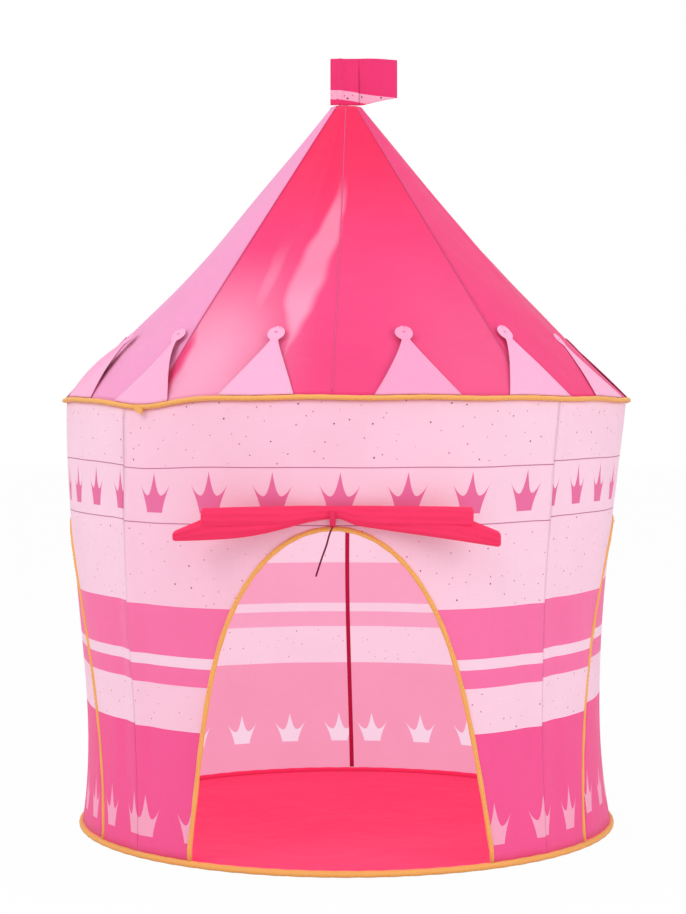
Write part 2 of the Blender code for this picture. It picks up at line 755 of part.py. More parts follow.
def add_door_roll(part, crimson, dark):
    """The door rolled up over the doorway, with its tie band and hanging cord."""
    front = roll_front()
    hinge = Vector((0.0, -front, roll_height() + ROLL_HALF_HEIGHT))

    def place(along, around):
        across = (along - 0.5) * ROLL_LENGTH
        depth, height = roll_section(across, math.tau * around)
        return Vector((across, -front + depth, roll_height() + height)) - hinge

    roll = capped_tube("door_roll", ROLL_STATIONS, ROLL_SIDES, place, part, crimson)
    roll.location = hinge

    def band_place(along, around):
        across = BAND_PLACE + (along - 0.5) * BAND_WIDTH
        turn = math.tau * around
        depth, height = roll_section(BAND_PLACE + BAND_WIDTH / 2.0, turn)
        outward = Vector((0.0, depth, height)).normalized() * band_growth()
        return Vector((across, -front + depth, roll_height() + height)) + outward

    cloth("tie_band", 2, ROLL_SIDES, band_place, TRIM_THICKNESS, part, dark, joined=True)

    reach = TRIM_THICKNESS / 2.0 + CLEARANCE + CORD_RADIUS
    start = band_place(0.5, 0.5) - Vector((0.0, reach, 0.0))
    route = [start + Vector(offset) for offset in CORD_ROUTE]
    tube("tie_cord", smooth_route(route, CORD_POINTS), CORD_RADIUS, part, dark)


def smooth_route(route, count):
    """Points along a smooth curve through a route's own points."""
    fine = []
    padded = [route[0] * 2.0 - route[1]] + route + [route[-1] * 2.0 - route[-2]]
    for index in range(len(route) - 1):
        before, first, second, after = padded[index:index + 4]
        for step in range(ROUTE_PARTS):
            share = step / ROUTE_PARTS
            square = share * share
            cube = square * share
            fine.append(
                (first * 2.0 + (second - before) * share
                 + (before * 2.0 - first * 5.0 + second * 4.0 - after) * square
                 + (first * 3.0 - before - second * 3.0 + after) * cube) / 2.0
            )
    fine.append(route[-1])
    return resample(fine, count)


# Floor and back seam
def add_floor(part, crimson):
    """The floor sheet, inside the base hoop."""
    radius = BASE_RADIUS - HOOP_BINDING_RADIUS - CLEARANCE
    floor = rod("floor_sheet", radius, CLOTH_THICKNESS, RING_STEPS, part, crimson)
    floor.location = (0.0, 0.0, CLOTH_THICKNESS / 2.0)


def add_back_tape(part, dark):
    """The dark tape down the inside of the back wall's middle seam."""
    low = HOOP_BINDING_RADIUS * 2.0 + CLEARANCE * 2.0
    inward = CLOTH_THICKNESS + CLEARANCE * 2.0

    def place(along, up):
        height = low + (wall_top() - low) * up
        across = (along - 0.5) * TAPE_WIDTH
        angle = 180.0 + math.degrees(across / BASE_RADIUS)
        return wall_point(angle, height, inward)

    cloth("back_seam_tape", 2, WALL_ROWS, place, TRIM_THICKNESS, part, dark)


def build():
    """Build every piece of the tent."""
    clear_scene()
    part = new_collection(PART_COLLECTION)
    cutters = new_collection(CUTTER_COLLECTION)
    wall_cloth = new_material("wall_cloth", (1.0, 0.55, 0.72), 0.75)
    roof_cloth = new_material("roof_cloth", (0.93, 0.09, 0.25), 0.75)
    pale_cloth = new_material("pale_cloth", (0.95, 0.45, 0.68), 0.75)
    floor_cloth = new_material("floor_cloth", (0.94, 0.05, 0.13), 0.75)
    dark_tape = new_material("dark_tape", (0.45, 0.02, 0.09), 0.8)
    yellow_tape = new_material("yellow_tape", (0.96, 0.48, 0.12), 0.7)
    spring_steel = new_material("spring_steel", (0.55, 0.55, 0.56), 0.35, 1.0)
    fibre = new_material("pole_fibre", (0.85, 0.85, 0.83), 0.5)
    plastic = new_material("fitting_plastic", (0.80, 0.80, 0.79), 0.45)

    add_floor(part, floor_cloth)
    add_hoop("base", BASE_RADIUS, HOOP_BINDING_RADIUS, 180.0, part, spring_steel, yellow_tape)
    add_hoop("eave", EAVE_RADIUS + HOOP_SETBACK, EAVE_HEIGHT, 180.0, part, spring_steel, yellow_tape)

    add_wall("wall_back", 180.0, part, wall_cloth)
    arches = {"front": ("door_arch", 0.0), "left": ("left_arch", -90.0), "right": ("right_arch", 90.0)}
    for side, (arch_name, facing) in arches.items():
        cutter = add_arch_cutter(arch_name + "_cutter", facing, cutters, wall_cloth)
        add_wall("wall_" + side, facing, part, wall_cloth, cutter)
        add_arch(arch_name, facing, part, spring_steel, yellow_tape)
    add_curtain("left_curtain", -90.0, part, wall_cloth)
    add_curtain("right_curtain", 90.0, part, wall_cloth)
    add_back_tape(part, dark_tape)

    side_half = 90.0 - ROOF_SEAM_ANGLE
    add_roof_panel("roof_front", 0.0, ROOF_SEAM_ANGLE, part, roof_cloth)
    add_roof_panel("roof_right", 90.0, side_half, part, roof_cloth)
    add_roof_panel("roof_back", 180.0, ROOF_SEAM_ANGLE, part, roof_cloth)
    add_roof_panel("roof_left", -90.0, side_half, part, pale_cloth)
    for index, angle in enumerate(flap_angles()):
        add_flap(f"roof_flap_{index + 1:02d}", angle, part, pale_cloth)

    corners = {
        "front_left": -POLE_ANGLE, "front_right": POLE_ANGLE,
        "back_right": 180.0 - POLE_ANGLE, "back_left": 180.0 + POLE_ANGLE,
    }
    poles = [add_corner(name, angle, part, fibre, plastic) for name, angle in corners.items()]
    stick_bottom = add_hub(poles, part, cutters, plastic)
    add_flag(stick_bottom, part, cutters, roof_cloth, roof_cloth, plastic)
    add_door_roll(part, floor_cloth, dark_tape)


build()
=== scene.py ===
"""Kids play tent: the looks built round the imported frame.

A round castle tent of printed cloth. Each class builds one sub-assembly from the tent's own sizes, main() calls
them in order, and every piece rides on the body of the CAD piece that it stands for.
"""

import logging
import math
from dataclasses import dataclass
from enum import Enum
from functools import reduce
from typing import Callable, Optional, Sequence

import bpy
import numpy as np
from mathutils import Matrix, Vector


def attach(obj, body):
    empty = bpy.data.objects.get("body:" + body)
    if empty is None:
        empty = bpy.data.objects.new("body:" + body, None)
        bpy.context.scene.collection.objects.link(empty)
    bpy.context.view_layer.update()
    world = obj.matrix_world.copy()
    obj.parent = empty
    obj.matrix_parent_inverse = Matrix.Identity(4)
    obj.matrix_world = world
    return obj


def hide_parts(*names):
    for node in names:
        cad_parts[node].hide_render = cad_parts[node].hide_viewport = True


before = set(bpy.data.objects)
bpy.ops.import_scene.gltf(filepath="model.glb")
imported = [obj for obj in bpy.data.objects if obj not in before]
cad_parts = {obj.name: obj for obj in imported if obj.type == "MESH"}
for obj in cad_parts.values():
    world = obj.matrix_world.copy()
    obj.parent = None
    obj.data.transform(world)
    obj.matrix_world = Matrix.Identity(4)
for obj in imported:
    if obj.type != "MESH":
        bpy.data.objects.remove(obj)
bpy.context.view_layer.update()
log = logging.getLogger("tent")

Point = tuple[float, float, float]
Colour = tuple[float, float, float]
Face = tuple[int, ...]
Mesh = bpy.types.Object
Material = bpy.types.Material
Socket = bpy.types.NodeSocket
Tree = bpy.types.NodeTree


class Body(Enum):
    """The bodies of the frame."""

    TENT = "tent"
    FLAG = "flag"
    DOOR = "rolled_door"
    LEFT = "left_curtain"
    RIGHT = "right_curtain"


# Sizes, in metres and degrees
@dataclass(frozen=True)
class TentSize:
    """The tent's own sizes, as the CAD has them, and those that only the looks have."""

    base_radius: float = 0.490
    eave_radius: float = 0.5155
    eave_height: float = 0.780
    waist: float = 0.0185
    waist_norm: float = 6.75
    lean: float = 0.010
    squareness: float = 0.012
    seam_angle: float = 45.0
    arch_width: float = 0.51
    arch_height: float = 0.568
    arch_taper: float = 0.30
    arch_power: float = 4.5
    roof_seam: float = 37.5
    apex_radius: float = 0.026
    apex_height: float = 1.326
    roof_hollow: float = 0.015
    fold_depth: float = 0.0025
    folds: int = 3
    fold_start: float = 0.35
    hoop_radius: float = 0.0055
    hoop_setback: float = 0.0035
    arch_tape: float = 0.0041
    cloth: float = 0.0016
    trim: float = 0.0012
    thin: float = 0.0010
    gap: float = 0.0003
    flap_width: float = 0.141
    flap_length: float = 0.156
    flap_neck: float = 0.014
    flap_knob: float = 0.030
    flap_knob_share: float = 0.80
    flap_hollow: float = 1.12
    flap_lift: float = 0.0027
    flap_seat: float = 0.0007
    flap_curl: float = 0.006
    roll_front: float = 0.51143
    roll_height: float = 0.572
    roll_half_depth: float = 0.016
    stick_offset: float = 0.012
    flag_low: float = 1.329
    flag_height: float = 0.086
    flag_fly: float = 0.106
    flag_hem: float = 0.018
    flag_notch: float = 0.042
    flag_corner: float = 0.013
    band_place: float = -0.010
    floor_radius: float = 0.4840
    eave_flat: float = 0.74
    hoop_wire: float = 0.0036
    arch_wire: float = 0.0026
    eave_dip: float = 0.014
    dip_angle: float = -41.0
    dip_width: float = 11.0
    crown_spacing: float = 0.1069

    @property
    def binding_reach(self) -> float:
        """How far the hoop's binding reaches above and below its wire at the cloth."""
        return math.sqrt(self.hoop_radius ** 2 - self.hoop_setback ** 2) * self.eave_flat

    @property
    def roof_bottom(self) -> float:
        """Height of the roof's lower edge."""
        return self.eave_height + self.binding_reach + self.gap * 2.0

    @property
    def wall_top(self) -> float:
        """Height of the wall's upper edge."""
        return self.eave_height - self.binding_reach - self.gap * 2.0

    @property
    def print_step(self) -> float:
        """How far apart the panels' prints lie in the UV map: ten crowns."""
        return self.crown_spacing * 10.0


T = TentSize()
TENT_SEED = 11


# The tent's shape
def polar(angle: float, radius: float, height: float) -> np.ndarray:
    """Point at an angle round the tent, in degrees from the doorway towards +X, a radius and a height."""
    turn = math.radians(angle)
    return np.array([radius * math.sin(turn), -radius * math.cos(turn), height])


def bump(value: float, middle: float, width: float) -> float:
    """A smooth hill of height 1 at middle."""
    return math.exp(-((value - middle) / width) ** 2)


def clip(value: float) -> float:
    """A value kept from 0 to 1."""
    return min(max(value, 0.0), 1.0)


def wrap(angle: float) -> float:
    """An angle from -180 to 180."""
    return (angle + 180.0) % 360.0 - 180.0


def outward(point: np.ndarray) -> np.ndarray:
    """Unit vector from the tent's axis towards a point, level."""
    return point * (1.0, 1.0, 0.0) / np.linalg.norm(point[:2])


def along_line(line: np.ndarray) -> np.ndarray:
    """Length from a line's start to each of its points."""
    return np.concatenate([[0.0], np.cumsum(np.linalg.norm(np.diff(line, axis=0), axis=1))])


def eave_sag(angle: float) -> float:
    """How far the eave hangs below its height: it dips near the front left corner."""
    return T.eave_dip * bump(wrap(angle), T.dip_angle, T.dip_width) + 0.0008 * math.sin(math.radians(angle) * 17.0)


def wall_radius(angle: float, height: float) -> float:
    """Distance of the wall from the axis at an angle and height."""
    share = clip(height / T.eave_height)
    waist = T.waist_norm * share * (1.0 - share) ** 2
    radius = T.base_radius * (1.0 - share) + T.eave_radius * share - T.waist * waist
    corner = math.cos(math.radians(4.0 * (angle - T.seam_angle)))
    return radius * (1.0 + T.squareness * waist * corner)


def arch_half_width(height: float) -> float:
    """Half the width of an arch at a height."""
    share = clip(height / T.arch_height)
    head = math.sqrt(max(0.0, 1.0 - share ** T.arch_power))
    return T.arch_width / 2.0 * (1.0 - T.arch_taper * share) * head


def across_angle(facing: float, across: float, height: float) -> float:
    """Angle at which the wall lies a distance across from the middle of an arch."""
    radius = wall_radius(facing, height)
    for _ in range(4):
        offset = math.degrees(math.asin(across / radius))
        radius = wall_radius(facing + offset, height)
    return facing + math.degrees(math.asin(across / radius))


def lean(height: float) -> np.ndarray:
    """How far the slack cloth stands off to the left at a height."""
    return np.array([-T.lean * math.sin(math.pi * clip(height / T.eave_height) ** 1.35), 0.0, 0.0])


def wall_spot(angle: float, height: float, push: float = 0.0) -> np.ndarray:
    """Point on the wall, pushed outward by its wrinkles, with the way that the cloth leans."""
    sag = eave_sag(angle) * min(1.0, height / T.wall_top) ** 6
    return polar(angle, wall_radius(angle, height) + push, height - sag) + lean(height)


def roof_place(angle: float) -> float:
    """Place across the roof panel at an angle, from -1 to 1."""
    wrapped = wrap(angle)
    if abs(wrapped) <= T.roof_seam:
        middle, half = 0.0, T.roof_seam
    elif abs(wrapped) >= 180.0 - T.roof_seam:
        middle, half = math.copysign(180.0, wrapped), T.roof_seam
    else:
        middle, half = math.copysign(90.0, wrapped), 90.0 - T.roof_seam
    return (wrapped - middle) / half


def roof_radius(share: float) -> float:
    """Radius of the roof's cone, from share 0 at the eave to 1 at the apex."""
    return T.eave_radius * (1.0 - share) + T.apex_radius * share


def roof_point(angle: float, share: float, lift: float = 0.0) -> np.ndarray:
    """Point on the roof at an angle and a share of the way up, lifted outward from the cloth."""
    height = T.roof_bottom * (1.0 - share) + T.apex_height * share
    slope = math.atan2(T.apex_height - T.roof_bottom, T.eave_radius - T.apex_radius)
    place = roof_place(angle)
    hollow = T.roof_hollow * math.sin(math.pi * share) * (1.0 - place * place)
    room = max(0.0, share - T.fold_start) * (1.0 - share)
    reach = lift - hollow + T.fold_depth * math.sin(math.pi * T.folds * place) * 4.0 * room
    height -= eave_sag(angle) * (1.0 - share) ** 6
    return polar(angle, roof_radius(share) + reach * math.sin(slope), height + reach * math.cos(slope))


def ripple(seed: int, count: int) -> Callable[[float, float], float]:
    """A smooth random field of a few waves over two lengths in metres, from about -1 to 1."""
    draw = np.random.default_rng(seed)
    reach = 26.0
    waves = [(draw.uniform(-reach, reach), draw.uniform(-reach, reach), draw.uniform(0.0, math.tau))
             for _ in range(count)]

    def field(first: float, second: float) -> float:
        return sum(math.sin(a * first + b * second + c) for a, b, c in waves) / math.sqrt(count)

    return field


def grid(rows: Sequence[float], columns: Sequence[float], spot: Callable[[float, float], Sequence]) -> np.ndarray:
    """What spot gives for every row and column: x, y, z, and u, v where it gives them."""
    return np.array([[spot(row, column) for column in columns] for row in rows])


# Meshes
def link(item: Mesh) -> Mesh:
    """Puts an object into the scene."""
    bpy.context.scene.collection.objects.link(item)
    return item


def new_object(name: str, vertices: Sequence, faces: Sequence[Face], materials: Sequence[Material],
               uv: Optional[np.ndarray] = None, indices: Optional[Sequence[int]] = None,
               smooth: bool = True) -> Mesh:
    """A mesh object in the scene, with a UV map in metres when one is given."""
    mesh = bpy.data.meshes.new(name)
    mesh.from_pydata([tuple(v) for v in vertices], [], faces)
    for material in materials:
        mesh.materials.append(material)
    if indices is not None:
        mesh.polygons.foreach_set("material_index", indices)
    if uv is not None:
        layer = mesh.uv_layers.new(name="UVMap")
        loops = np.zeros(len(mesh.loops), dtype=np.int32)
        mesh.loops.foreach_get("vertex_index", loops)
        layer.data.foreach_set("uv", np.asarray(uv, dtype=np.float32).reshape(-1, 2)[loops].ravel())
    mesh.polygons.foreach_set("use_smooth", [smooth] * len(mesh.polygons))
    mesh.update()
    return link(bpy.data.objects.new(name, mesh))


def grid_normals(points: np.ndarray, joined: bool = False) -> np.ndarray:
    """Unit normals of a grid of points, rows by columns."""
    if joined:
        along = np.roll(points, -1, axis=1) - np.roll(points, 1, axis=1)
    else:
        along = np.gradient(points, axis=1)
    normals = np.cross(along, np.gradient(points, axis=0))
    return normals / np.maximum(np.linalg.norm(normals, axis=2, keepdims=True), 1e-12)


def quads_of(index: np.ndarray) -> list[Face]:
    """Faces between the rows and columns of a grid of vertex numbers."""
    corners = index[:-1, :-1], index[:-1, 1:], index[1:, 1:], index[1:, :-1]
    return [tuple(quad) for quad in np.stack(corners, axis=2).reshape(-1, 4).tolist()]


def tube_faces(count: int, sides: int, closed: bool = False) -> list[Face]:
    """Faces of a tube of rings, closed to a ring or with flat ends."""
    index = np.arange(count * sides).reshape(count, sides)
    index = np.concatenate([index, index[:, :1]], axis=1)
    if closed:
        return quads_of(np.concatenate([index, index[:1]]).T)
    ends = [tuple(range(sides)), tuple(reversed(range((count - 1) * sides, count * sides)))]
    return quads_of(index.T) + ends


def thicken(name: str, points: np.ndarray, normals: np.ndarray, quads: list[Face], thickness: float,
            outer: Material, inner: Optional[Material], uv: np.ndarray) -> Mesh:
    """A closed sheet over quads, with a rim along their free edges.

    Args:
        name: the new object's name.
        points: vertices of the sheet's middle.
        normals: a unit normal for each point, outward.
        quads: faces over the points, as seen from outside.
        thickness: metres, half of it on each side of the points.
        outer: material of the outer face and the rim.
        inner: material of the inner face, or None for the outer one.
        uv: two lengths for each point, in metres.
    Returns:
        The mesh object.
    """
    flat = len(points)
    offset = normals * (thickness / 2.0)
    edges = {(a, b): None for quad in quads for a, b in zip(quad, quad[1:] + quad[:1])}
    rim = [(b, a, flat + a, flat + b) for a, b in edges if (b, a) not in edges]
    backs = [tuple(flat + k for k in reversed(quad)) for quad in quads]
    indices = [0] * len(quads) + [1 if inner else 0] * len(quads) + [0] * len(rim)
    return new_object(name, np.concatenate([points + offset, points - offset]), quads + backs + rim,
                      [outer, inner] if inner else [outer], np.concatenate([uv, uv]), indices)


def shell(name: str, points: np.ndarray, thickness: float, outer: Material, inner: Optional[Material] = None,
          uv: Optional[np.ndarray] = None, joined: bool = False) -> Mesh:
    """A sheet with thickness over a grid of points.

    Args:
        name: the new object's name.
        points: rows by columns, seen from outside with columns to the right and rows upward; x, y and z, and
            after them the UV map's two lengths if uv isn't given.
        thickness: metres, half of it on each side of the points.
        outer: material of the outer face and the rim.
        inner: material of the inner face, or None for the outer one.
        uv: rows by columns by 2, in metres.
        joined: whether the last column meets the first.
    Returns:
        The closed mesh object.
    """
    places, spots = points[:, :, :3], points[:, :, 3:] if uv is None else uv
    index = np.arange(places.shape[0] * places.shape[1]).reshape(places.shape[:2])
    if joined:
        index = np.concatenate([index, index[:, :1]], axis=1)
    return thicken(name, places.reshape(-1, 3), grid_normals(places, joined).reshape(-1, 3), quads_of(index),
                   thickness, outer, inner, spots.reshape(-1, 2))


def sweep(name: str, path: Sequence, radii: Sequence[float], sides: int, material: Material,
          closed: bool = False, flat: float = 1.0, up: Sequence[float] = (0.0, 0.0, 1.0)) -> Mesh:
    """A tube along a path, with its own radius at each point.

    Args:
        name: the new object's name.
        path: points along the middle line.
        radii: a radius for each point.
        sides: number of sides.
        material: its one material.
        closed: whether the path is a ring.
        flat: the section's height as a share of its width.
        up: rough direction of the section's height.
    Returns:
        The closed mesh object.
    """
    line = np.asarray(path, dtype=float)
    if closed:
        along = np.roll(line, -1, axis=0) - np.roll(line, 1, axis=0)
    else:
        along = np.gradient(line, axis=0)
    along /= np.linalg.norm(along, axis=1, keepdims=True)
    side = np.cross(along, np.tile(np.asarray(up, dtype=float), (len(line), 1)))
    side /= np.maximum(np.linalg.norm(side, axis=1, keepdims=True), 1e-9)
    rise = np.cross(side, along)
    turns = np.arange(sides) * math.tau / sides
    rings = line[:, None] + np.asarray(radii, dtype=float)[:, None, None] * (
        side[:, None] * np.cos(turns)[None, :, None] + flat * rise[:, None] * np.sin(turns)[None, :, None])
    uv = np.stack(np.broadcast_arrays(along_line(line)[:, None], (turns * np.mean(radii))[None]), axis=2)
    return new_object(name, rings.reshape(-1, 3), tube_faces(len(line), sides, closed), [material], uv)


def dress(item: Mesh, body: Body, slot: str, *nodes: str) -> Mesh:
    """Rides a piece on its body and hides the CAD nodes that it stands for."""
    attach(item, body.value)
    if nodes:
        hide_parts(*nodes)
    return item


def sheet(rests_on: str) -> None:
    """Takes the names of what a piece of cloth rests on, and does nothing with them."""
    rests_on.split(", ")


# Materials
def srgb(red: int, green: int, blue: int) -> Colour:
    """An 8-bit screen colour as a linear one."""
    shares = (value / 255.0 for value in (red, green, blue))
    return tuple(share / 12.92 if share <= 0.04045 else ((share + 0.055) / 1.055) ** 2.4 for share in shares)


class Nodes:
    """Adds nodes to a material or a node group, one call a node."""

    def __init__(self, tree: Tree) -> None:
        """Args: tree: the tree that the nodes go into."""
        self.tree = tree
        tree.nodes.clear()

    def node(self, kind: str, **values: object) -> bpy.types.Node:
        """A new node with some of its properties set."""
        item = self.tree.nodes.new(kind)
        for name, value in values.items():
            setattr(item, name, value)
        return item

    def put(self, socket: Socket, value: object) -> None:
        """Links a socket into another, or sets a plain number or colour."""
        if isinstance(value, Socket):
            self.tree.links.new(value, socket)
        elif isinstance(value, tuple) and len(value) == 3 and socket.type == 'RGBA':
            socket.default_value = (*value, 1.0)
        else:
            socket.default_value = value

    def feed(self, item: bpy.types.Node, *values: object, **named: object) -> bpy.types.Node:
        """Fills a node's inputs, by place or by name (with _ for a space)."""
        for socket, value in zip(item.inputs, values):
            self.put(socket, value)
        for name, value in named.items():
            self.put(item.inputs[name.replace("_", " ")], value)
        return item

    def math(self, operation: str, first: object, second: object = 0.0, clamp: bool = False) -> Socket:
        """The result of one sum."""
        return self.feed(self.node("ShaderNodeMath", operation=operation, use_clamp=clamp), first, second).outputs[0]

    def mul(self, *values: object) -> Socket:
        """The product of values."""
        return reduce(lambda a, b: self.math('MULTIPLY', a, b), values)

    def add(self, *values: object) -> Socket:
        """The sum of values."""
        return reduce(lambda a, b: self.math('ADD', a, b), values)

    def top(self, *values: object) -> Socket:
        """The greatest of values."""
        return reduce(lambda a, b: self.math('MAXIMUM', a, b), values)

    def sub(self, first: object, second: object, clamp: bool = False) -> Socket:
        """A difference."""
        return self.math('SUBTRACT', first, second, clamp)

    def div(self, first: object, second: object, clamp: bool = False) -> Socket:
        """A quotient."""
        return self.math('DIVIDE', first, second, clamp)

    def above(self, first: object, second: object) -> Socket:
        """1 where the first value is greater."""
        return self.math('GREATER_THAN', first, second)

    def below(self, first: object, second: object) -> Socket:
        """1 where the first value is less."""
        return self.math('LESS_THAN', first, second)

    def size(self, value: object) -> Socket:
        """A value without its sign."""
        return self.math('ABSOLUTE', value)

    def mix(self, share: object, first: object, second: object) -> Socket:
        """Two colours mixed."""
        item = self.node("ShaderNodeMix", data_type='RGBA')
        for place, value in ((0, share), (6, first), (7, second)):
            self.put(item.inputs[place], value)
        return item.outputs[2]

    def ramp(self, value: object, start: float, end: float, low: float = 0.0, high: float = 1.0) -> Socket:
        """A smooth step from low at start to high at end."""
        step = self.node("ShaderNodeMapRange", interpolation_type='SMOOTHSTEP')
        return self.feed(step, value, start, end, low, high).outputs[0]

    def split(self, vector: Socket) -> tuple[Socket, ...]:
        """The three numbers of a vector."""
        return tuple(self.feed(self.node("ShaderNodeSeparateXYZ"), vector).outputs)

    def join(self, *numbers: object) -> Socket:
        """A vector of three numbers."""
        return self.feed(self.node("ShaderNodeCombineXYZ"), *numbers).outputs[0]

    def noise(self, vector: Socket, scale: float, detail: float = 2.0) -> Socket:
        """Smooth noise from 0 to 1."""
        return self.feed(self.node("ShaderNodeTexNoise"), Vector=vector, Scale=scale, Detail=detail).outputs[0]

    def group(self, tree: Tree, **values: object) -> bpy.types.Node:
        """A group node with its inputs set."""
        return self.feed(self.node("ShaderNodeGroup", node_tree=tree), **values)

    def camera_choice(self, share: float, first: bpy.types.Node, second: bpy.types.Node) -> Socket:
        """A surface or background that is the second one, to a share, for the camera's own rays."""
        seen = self.mul(self.node("ShaderNodeLightPath").outputs["Is Camera Ray"], share)
        return self.feed(self.node("ShaderNodeMixShader"), seen, first.outputs[0], second.outputs[0]).outputs[0]


def new_material(name: str, roughness: float) -> tuple[Material, Nodes, bpy.types.Node]:
    """A material with one Principled surface.

    Args:
        name: the material's name.
        roughness: of its surface.
    Returns:
        The material, its node helper and the surface node.
    """
    material = bpy.data.materials.new(name)
    material.use_nodes = True
    nodes = Nodes(material.node_tree)
    surface = nodes.feed(nodes.node("ShaderNodeBsdfPrincipled"), Roughness=roughness)
    nodes.feed(nodes.node("ShaderNodeOutputMaterial"), Surface=surface.outputs["BSDF"])
    return material, nodes, surface


def new_group(name: str, inputs: dict[str, Optional[float]],
              outputs: Sequence[str]) -> tuple[Nodes, dict[str, Socket], bpy.types.Node]:
    """A shader node group with its sockets, ready for nodes.

    Args:
        name: the group's name.
        inputs: a default for each number, or None for a vector.
        outputs: names of the numbers that it gives.
    Returns:
        The node helper, the inputs by name and the output node.
    """
    tree = bpy.data.node_groups.new(name, 'ShaderNodeTree')
    for label, default in inputs.items():
        kind = 'NodeSocketVector' if default is None else 'NodeSocketFloat'
        socket = tree.interface.new_socket(label, in_out='INPUT', socket_type=kind)
        if default is not None:
            socket.default_value = default
    for label in outputs:
        tree.interface.new_socket(label, in_out='OUTPUT', socket_type='NodeSocketFloat')
    nodes = Nodes(tree)
    source = nodes.node("NodeGroupInput").outputs
    return nodes, {label: source[label] for label in inputs}, nodes.node("NodeGroupOutput")


def weave_group() -> Tree:
    """Plain weave: a height and a shade from a vector in metres."""
    nodes, given, result = new_group("weave", {"Vector": None, "Thread": 0.0012}, ("Height", "Shade"))
    x, y, _ = nodes.split(given["Vector"])
    turn = nodes.div(math.pi, given["Thread"])
    over = nodes.mul(nodes.math('SINE', nodes.mul(x, turn)), nodes.math('SINE', nodes.mul(y, turn)))
    slub = nodes.noise(nodes.join(nodes.mul(x, 40.0), nodes.mul(y, 900.0), 0.0), 1.0)
    nodes.feed(result, Height=nodes.math('MULTIPLY_ADD', over, 0.5), Shade=nodes.mul(slub, 0.35))
    return nodes.tree


def crown_group() -> Tree:
    """A row of plain three-point crowns: 1 inside one, 0 outside."""
    inputs = {"Across": 0.0, "Up": 0.0, "Spacing": T.crown_spacing, "Width": 0.075, "Height": CROWN_HEIGHT}
    nodes, given, result = new_group("crown", inputs, ("Mask",))
    turn = nodes.math('FRACT', nodes.div(given["Across"], given["Spacing"]))
    place = nodes.mul(nodes.sub(turn, 0.5), given["Spacing"])
    x = nodes.size(nodes.div(place, nodes.mul(given["Width"], 0.5)))
    y = nodes.div(given["Up"], given["Height"])
    near = nodes.sub(1.0, nodes.div(x, 0.40), clamp=True)
    far = nodes.div(nodes.sub(x, 0.40), 0.60, clamp=True)
    spike = nodes.mul(nodes.math('POWER', near, 2.2), 0.57)
    horn = nodes.mul(nodes.math('POWER', far, 1.7), 0.40)
    aside = nodes.div(nodes.sub(x, 0.46), 0.54, clamp=True)
    foot = nodes.mul(nodes.math('POWER', aside, 0.72), 0.83)
    inside = nodes.mul(nodes.below(y, nodes.add(spike, horn, 0.42)), nodes.above(y, foot), nodes.below(x, 1.0))
    nodes.feed(result, inside)
    return nodes.tree


def dot_group() -> Tree:
    """Small scattered dots: 1 inside one, and a random number for each."""
    nodes, given, result = new_group("dots", {"Vector": None, "Spacing": 0.030, "Radius": 0.0013},
                                     ("Mask", "Random"))
    cells = nodes.node("ShaderNodeTexVoronoi", voronoi_dimensions='2D', feature='F1')
    nodes.feed(cells, Vector=given["Vector"], Scale=nodes.div(1.0, given["Spacing"]))
    reach = nodes.mul(cells.outputs["Distance"], given["Spacing"])
    colour = nodes.split(cells.outputs["Color"])
    size = nodes.mul(given["Radius"], nodes.math('MULTIPLY_ADD', colour[0], 0.7))
    nodes.feed(result, nodes.below(reach, size), colour[1])
    return nodes.tree


def wrinkle_shade_group() -> Tree:
    """Soft wrinkles in thin cloth: a height and a shade from a vector in metres."""
    nodes, given, result = new_group("wrinkle", {"Vector": None}, ("Height", "Shade"))
    broad = nodes.noise(given["Vector"], 9.0, 2.0)
    x, y, z = nodes.split(given["Vector"])
    streak = nodes.noise(nodes.join(nodes.mul(x, 22.0), nodes.mul(y, 22.0), nodes.mul(z, 5.0)), 1.0, 3.0)
    nodes.feed(result, nodes.add(broad, nodes.mul(streak, 0.5)), broad)
    return nodes.tree


@dataclass(frozen=True)
class Finish:
    """One finish of cloth or tape."""

    name: str
    colour: Colour
    roughness: float = 0.75
    sheen: float = 0.15
    thread: float = 0.0012
    weave: float = 0.25
    wrinkle: float = 0.25
    shade: float = 0.10
    # glow: emission in the cloth's own colour, painted light for the light that shines through thin cloth; body:
    # share of the colour that the surface still scatters
    glow: float = 0.0
    body: float = 1.0
    # streak: share of the painted light and shade on the front roof panel
    streak: float = 0.0


class Print(Enum):
    """What is printed on a cloth."""

    PLAIN = "plain"
    WALL = "wall"
    FLAG = "flag"


# Colours, and heights and lengths in metres, of the printed cloth
PALE = srgb(255, 212, 231)
# the pale stripes' colour at the front, a shade darker than PALE on the sides: painted light, which falls more on the
# sides
PALE_FRONT = srgb(255, 200, 222)
PALE_STRIP = srgb(254, 214, 232)
PINK = srgb(252, 116, 170)
HOT = srgb(250, 88, 152)
CROWN_DARK = srgb(238, 112, 164)
CROWN_PALE = srgb(254, 172, 202)
DOT_DARK = srgb(140, 40, 92)
DOT_SOFT = srgb(222, 120, 160)
SEAM = srgb(196, 110, 150)
ROOF_PINK = srgb(243, 66, 128)
BLACK = (0.0, 0.0, 0.0)
FOLD_SHADE = (0.45, 0.0, 0.08)
COOL_LIGHT = (0.97, 0.86, 1.0)
WEAVE_DEPTH = 0.0002
WRINKLE_DEPTH = 0.02
BANDS = ((0.224, PALE), (0.300, PINK), (0.331, PALE_STRIP), (0.349, PINK), (0.4334, PALE))
SEAMS = (0.573, 0.667)
SEAM_HALF = 0.0009
DOTTED = ((0.224, 0.300), (0.4334, 0.573), (0.667, 0.800))
DOT_MARGIN = 0.004
CROWN_HEIGHT = 0.070
UPPER_CROWNS = 0.591
LOWER_CROWNS = 0.038
BACK_CROWN_RISE = 0.0245
BACK_CROWN_SQUASH = 0.014
BACK_CROWN_STEP = 0.036
CROWN_LIGHT = 2.3
CROWN_SHIFT = 0.008
SIDE_STRETCH = 1.35
ROOF_MAP_SCALE = 0.3
ROOF_MAP_HALF = math.radians(T.roof_seam) * ROOF_MAP_SCALE
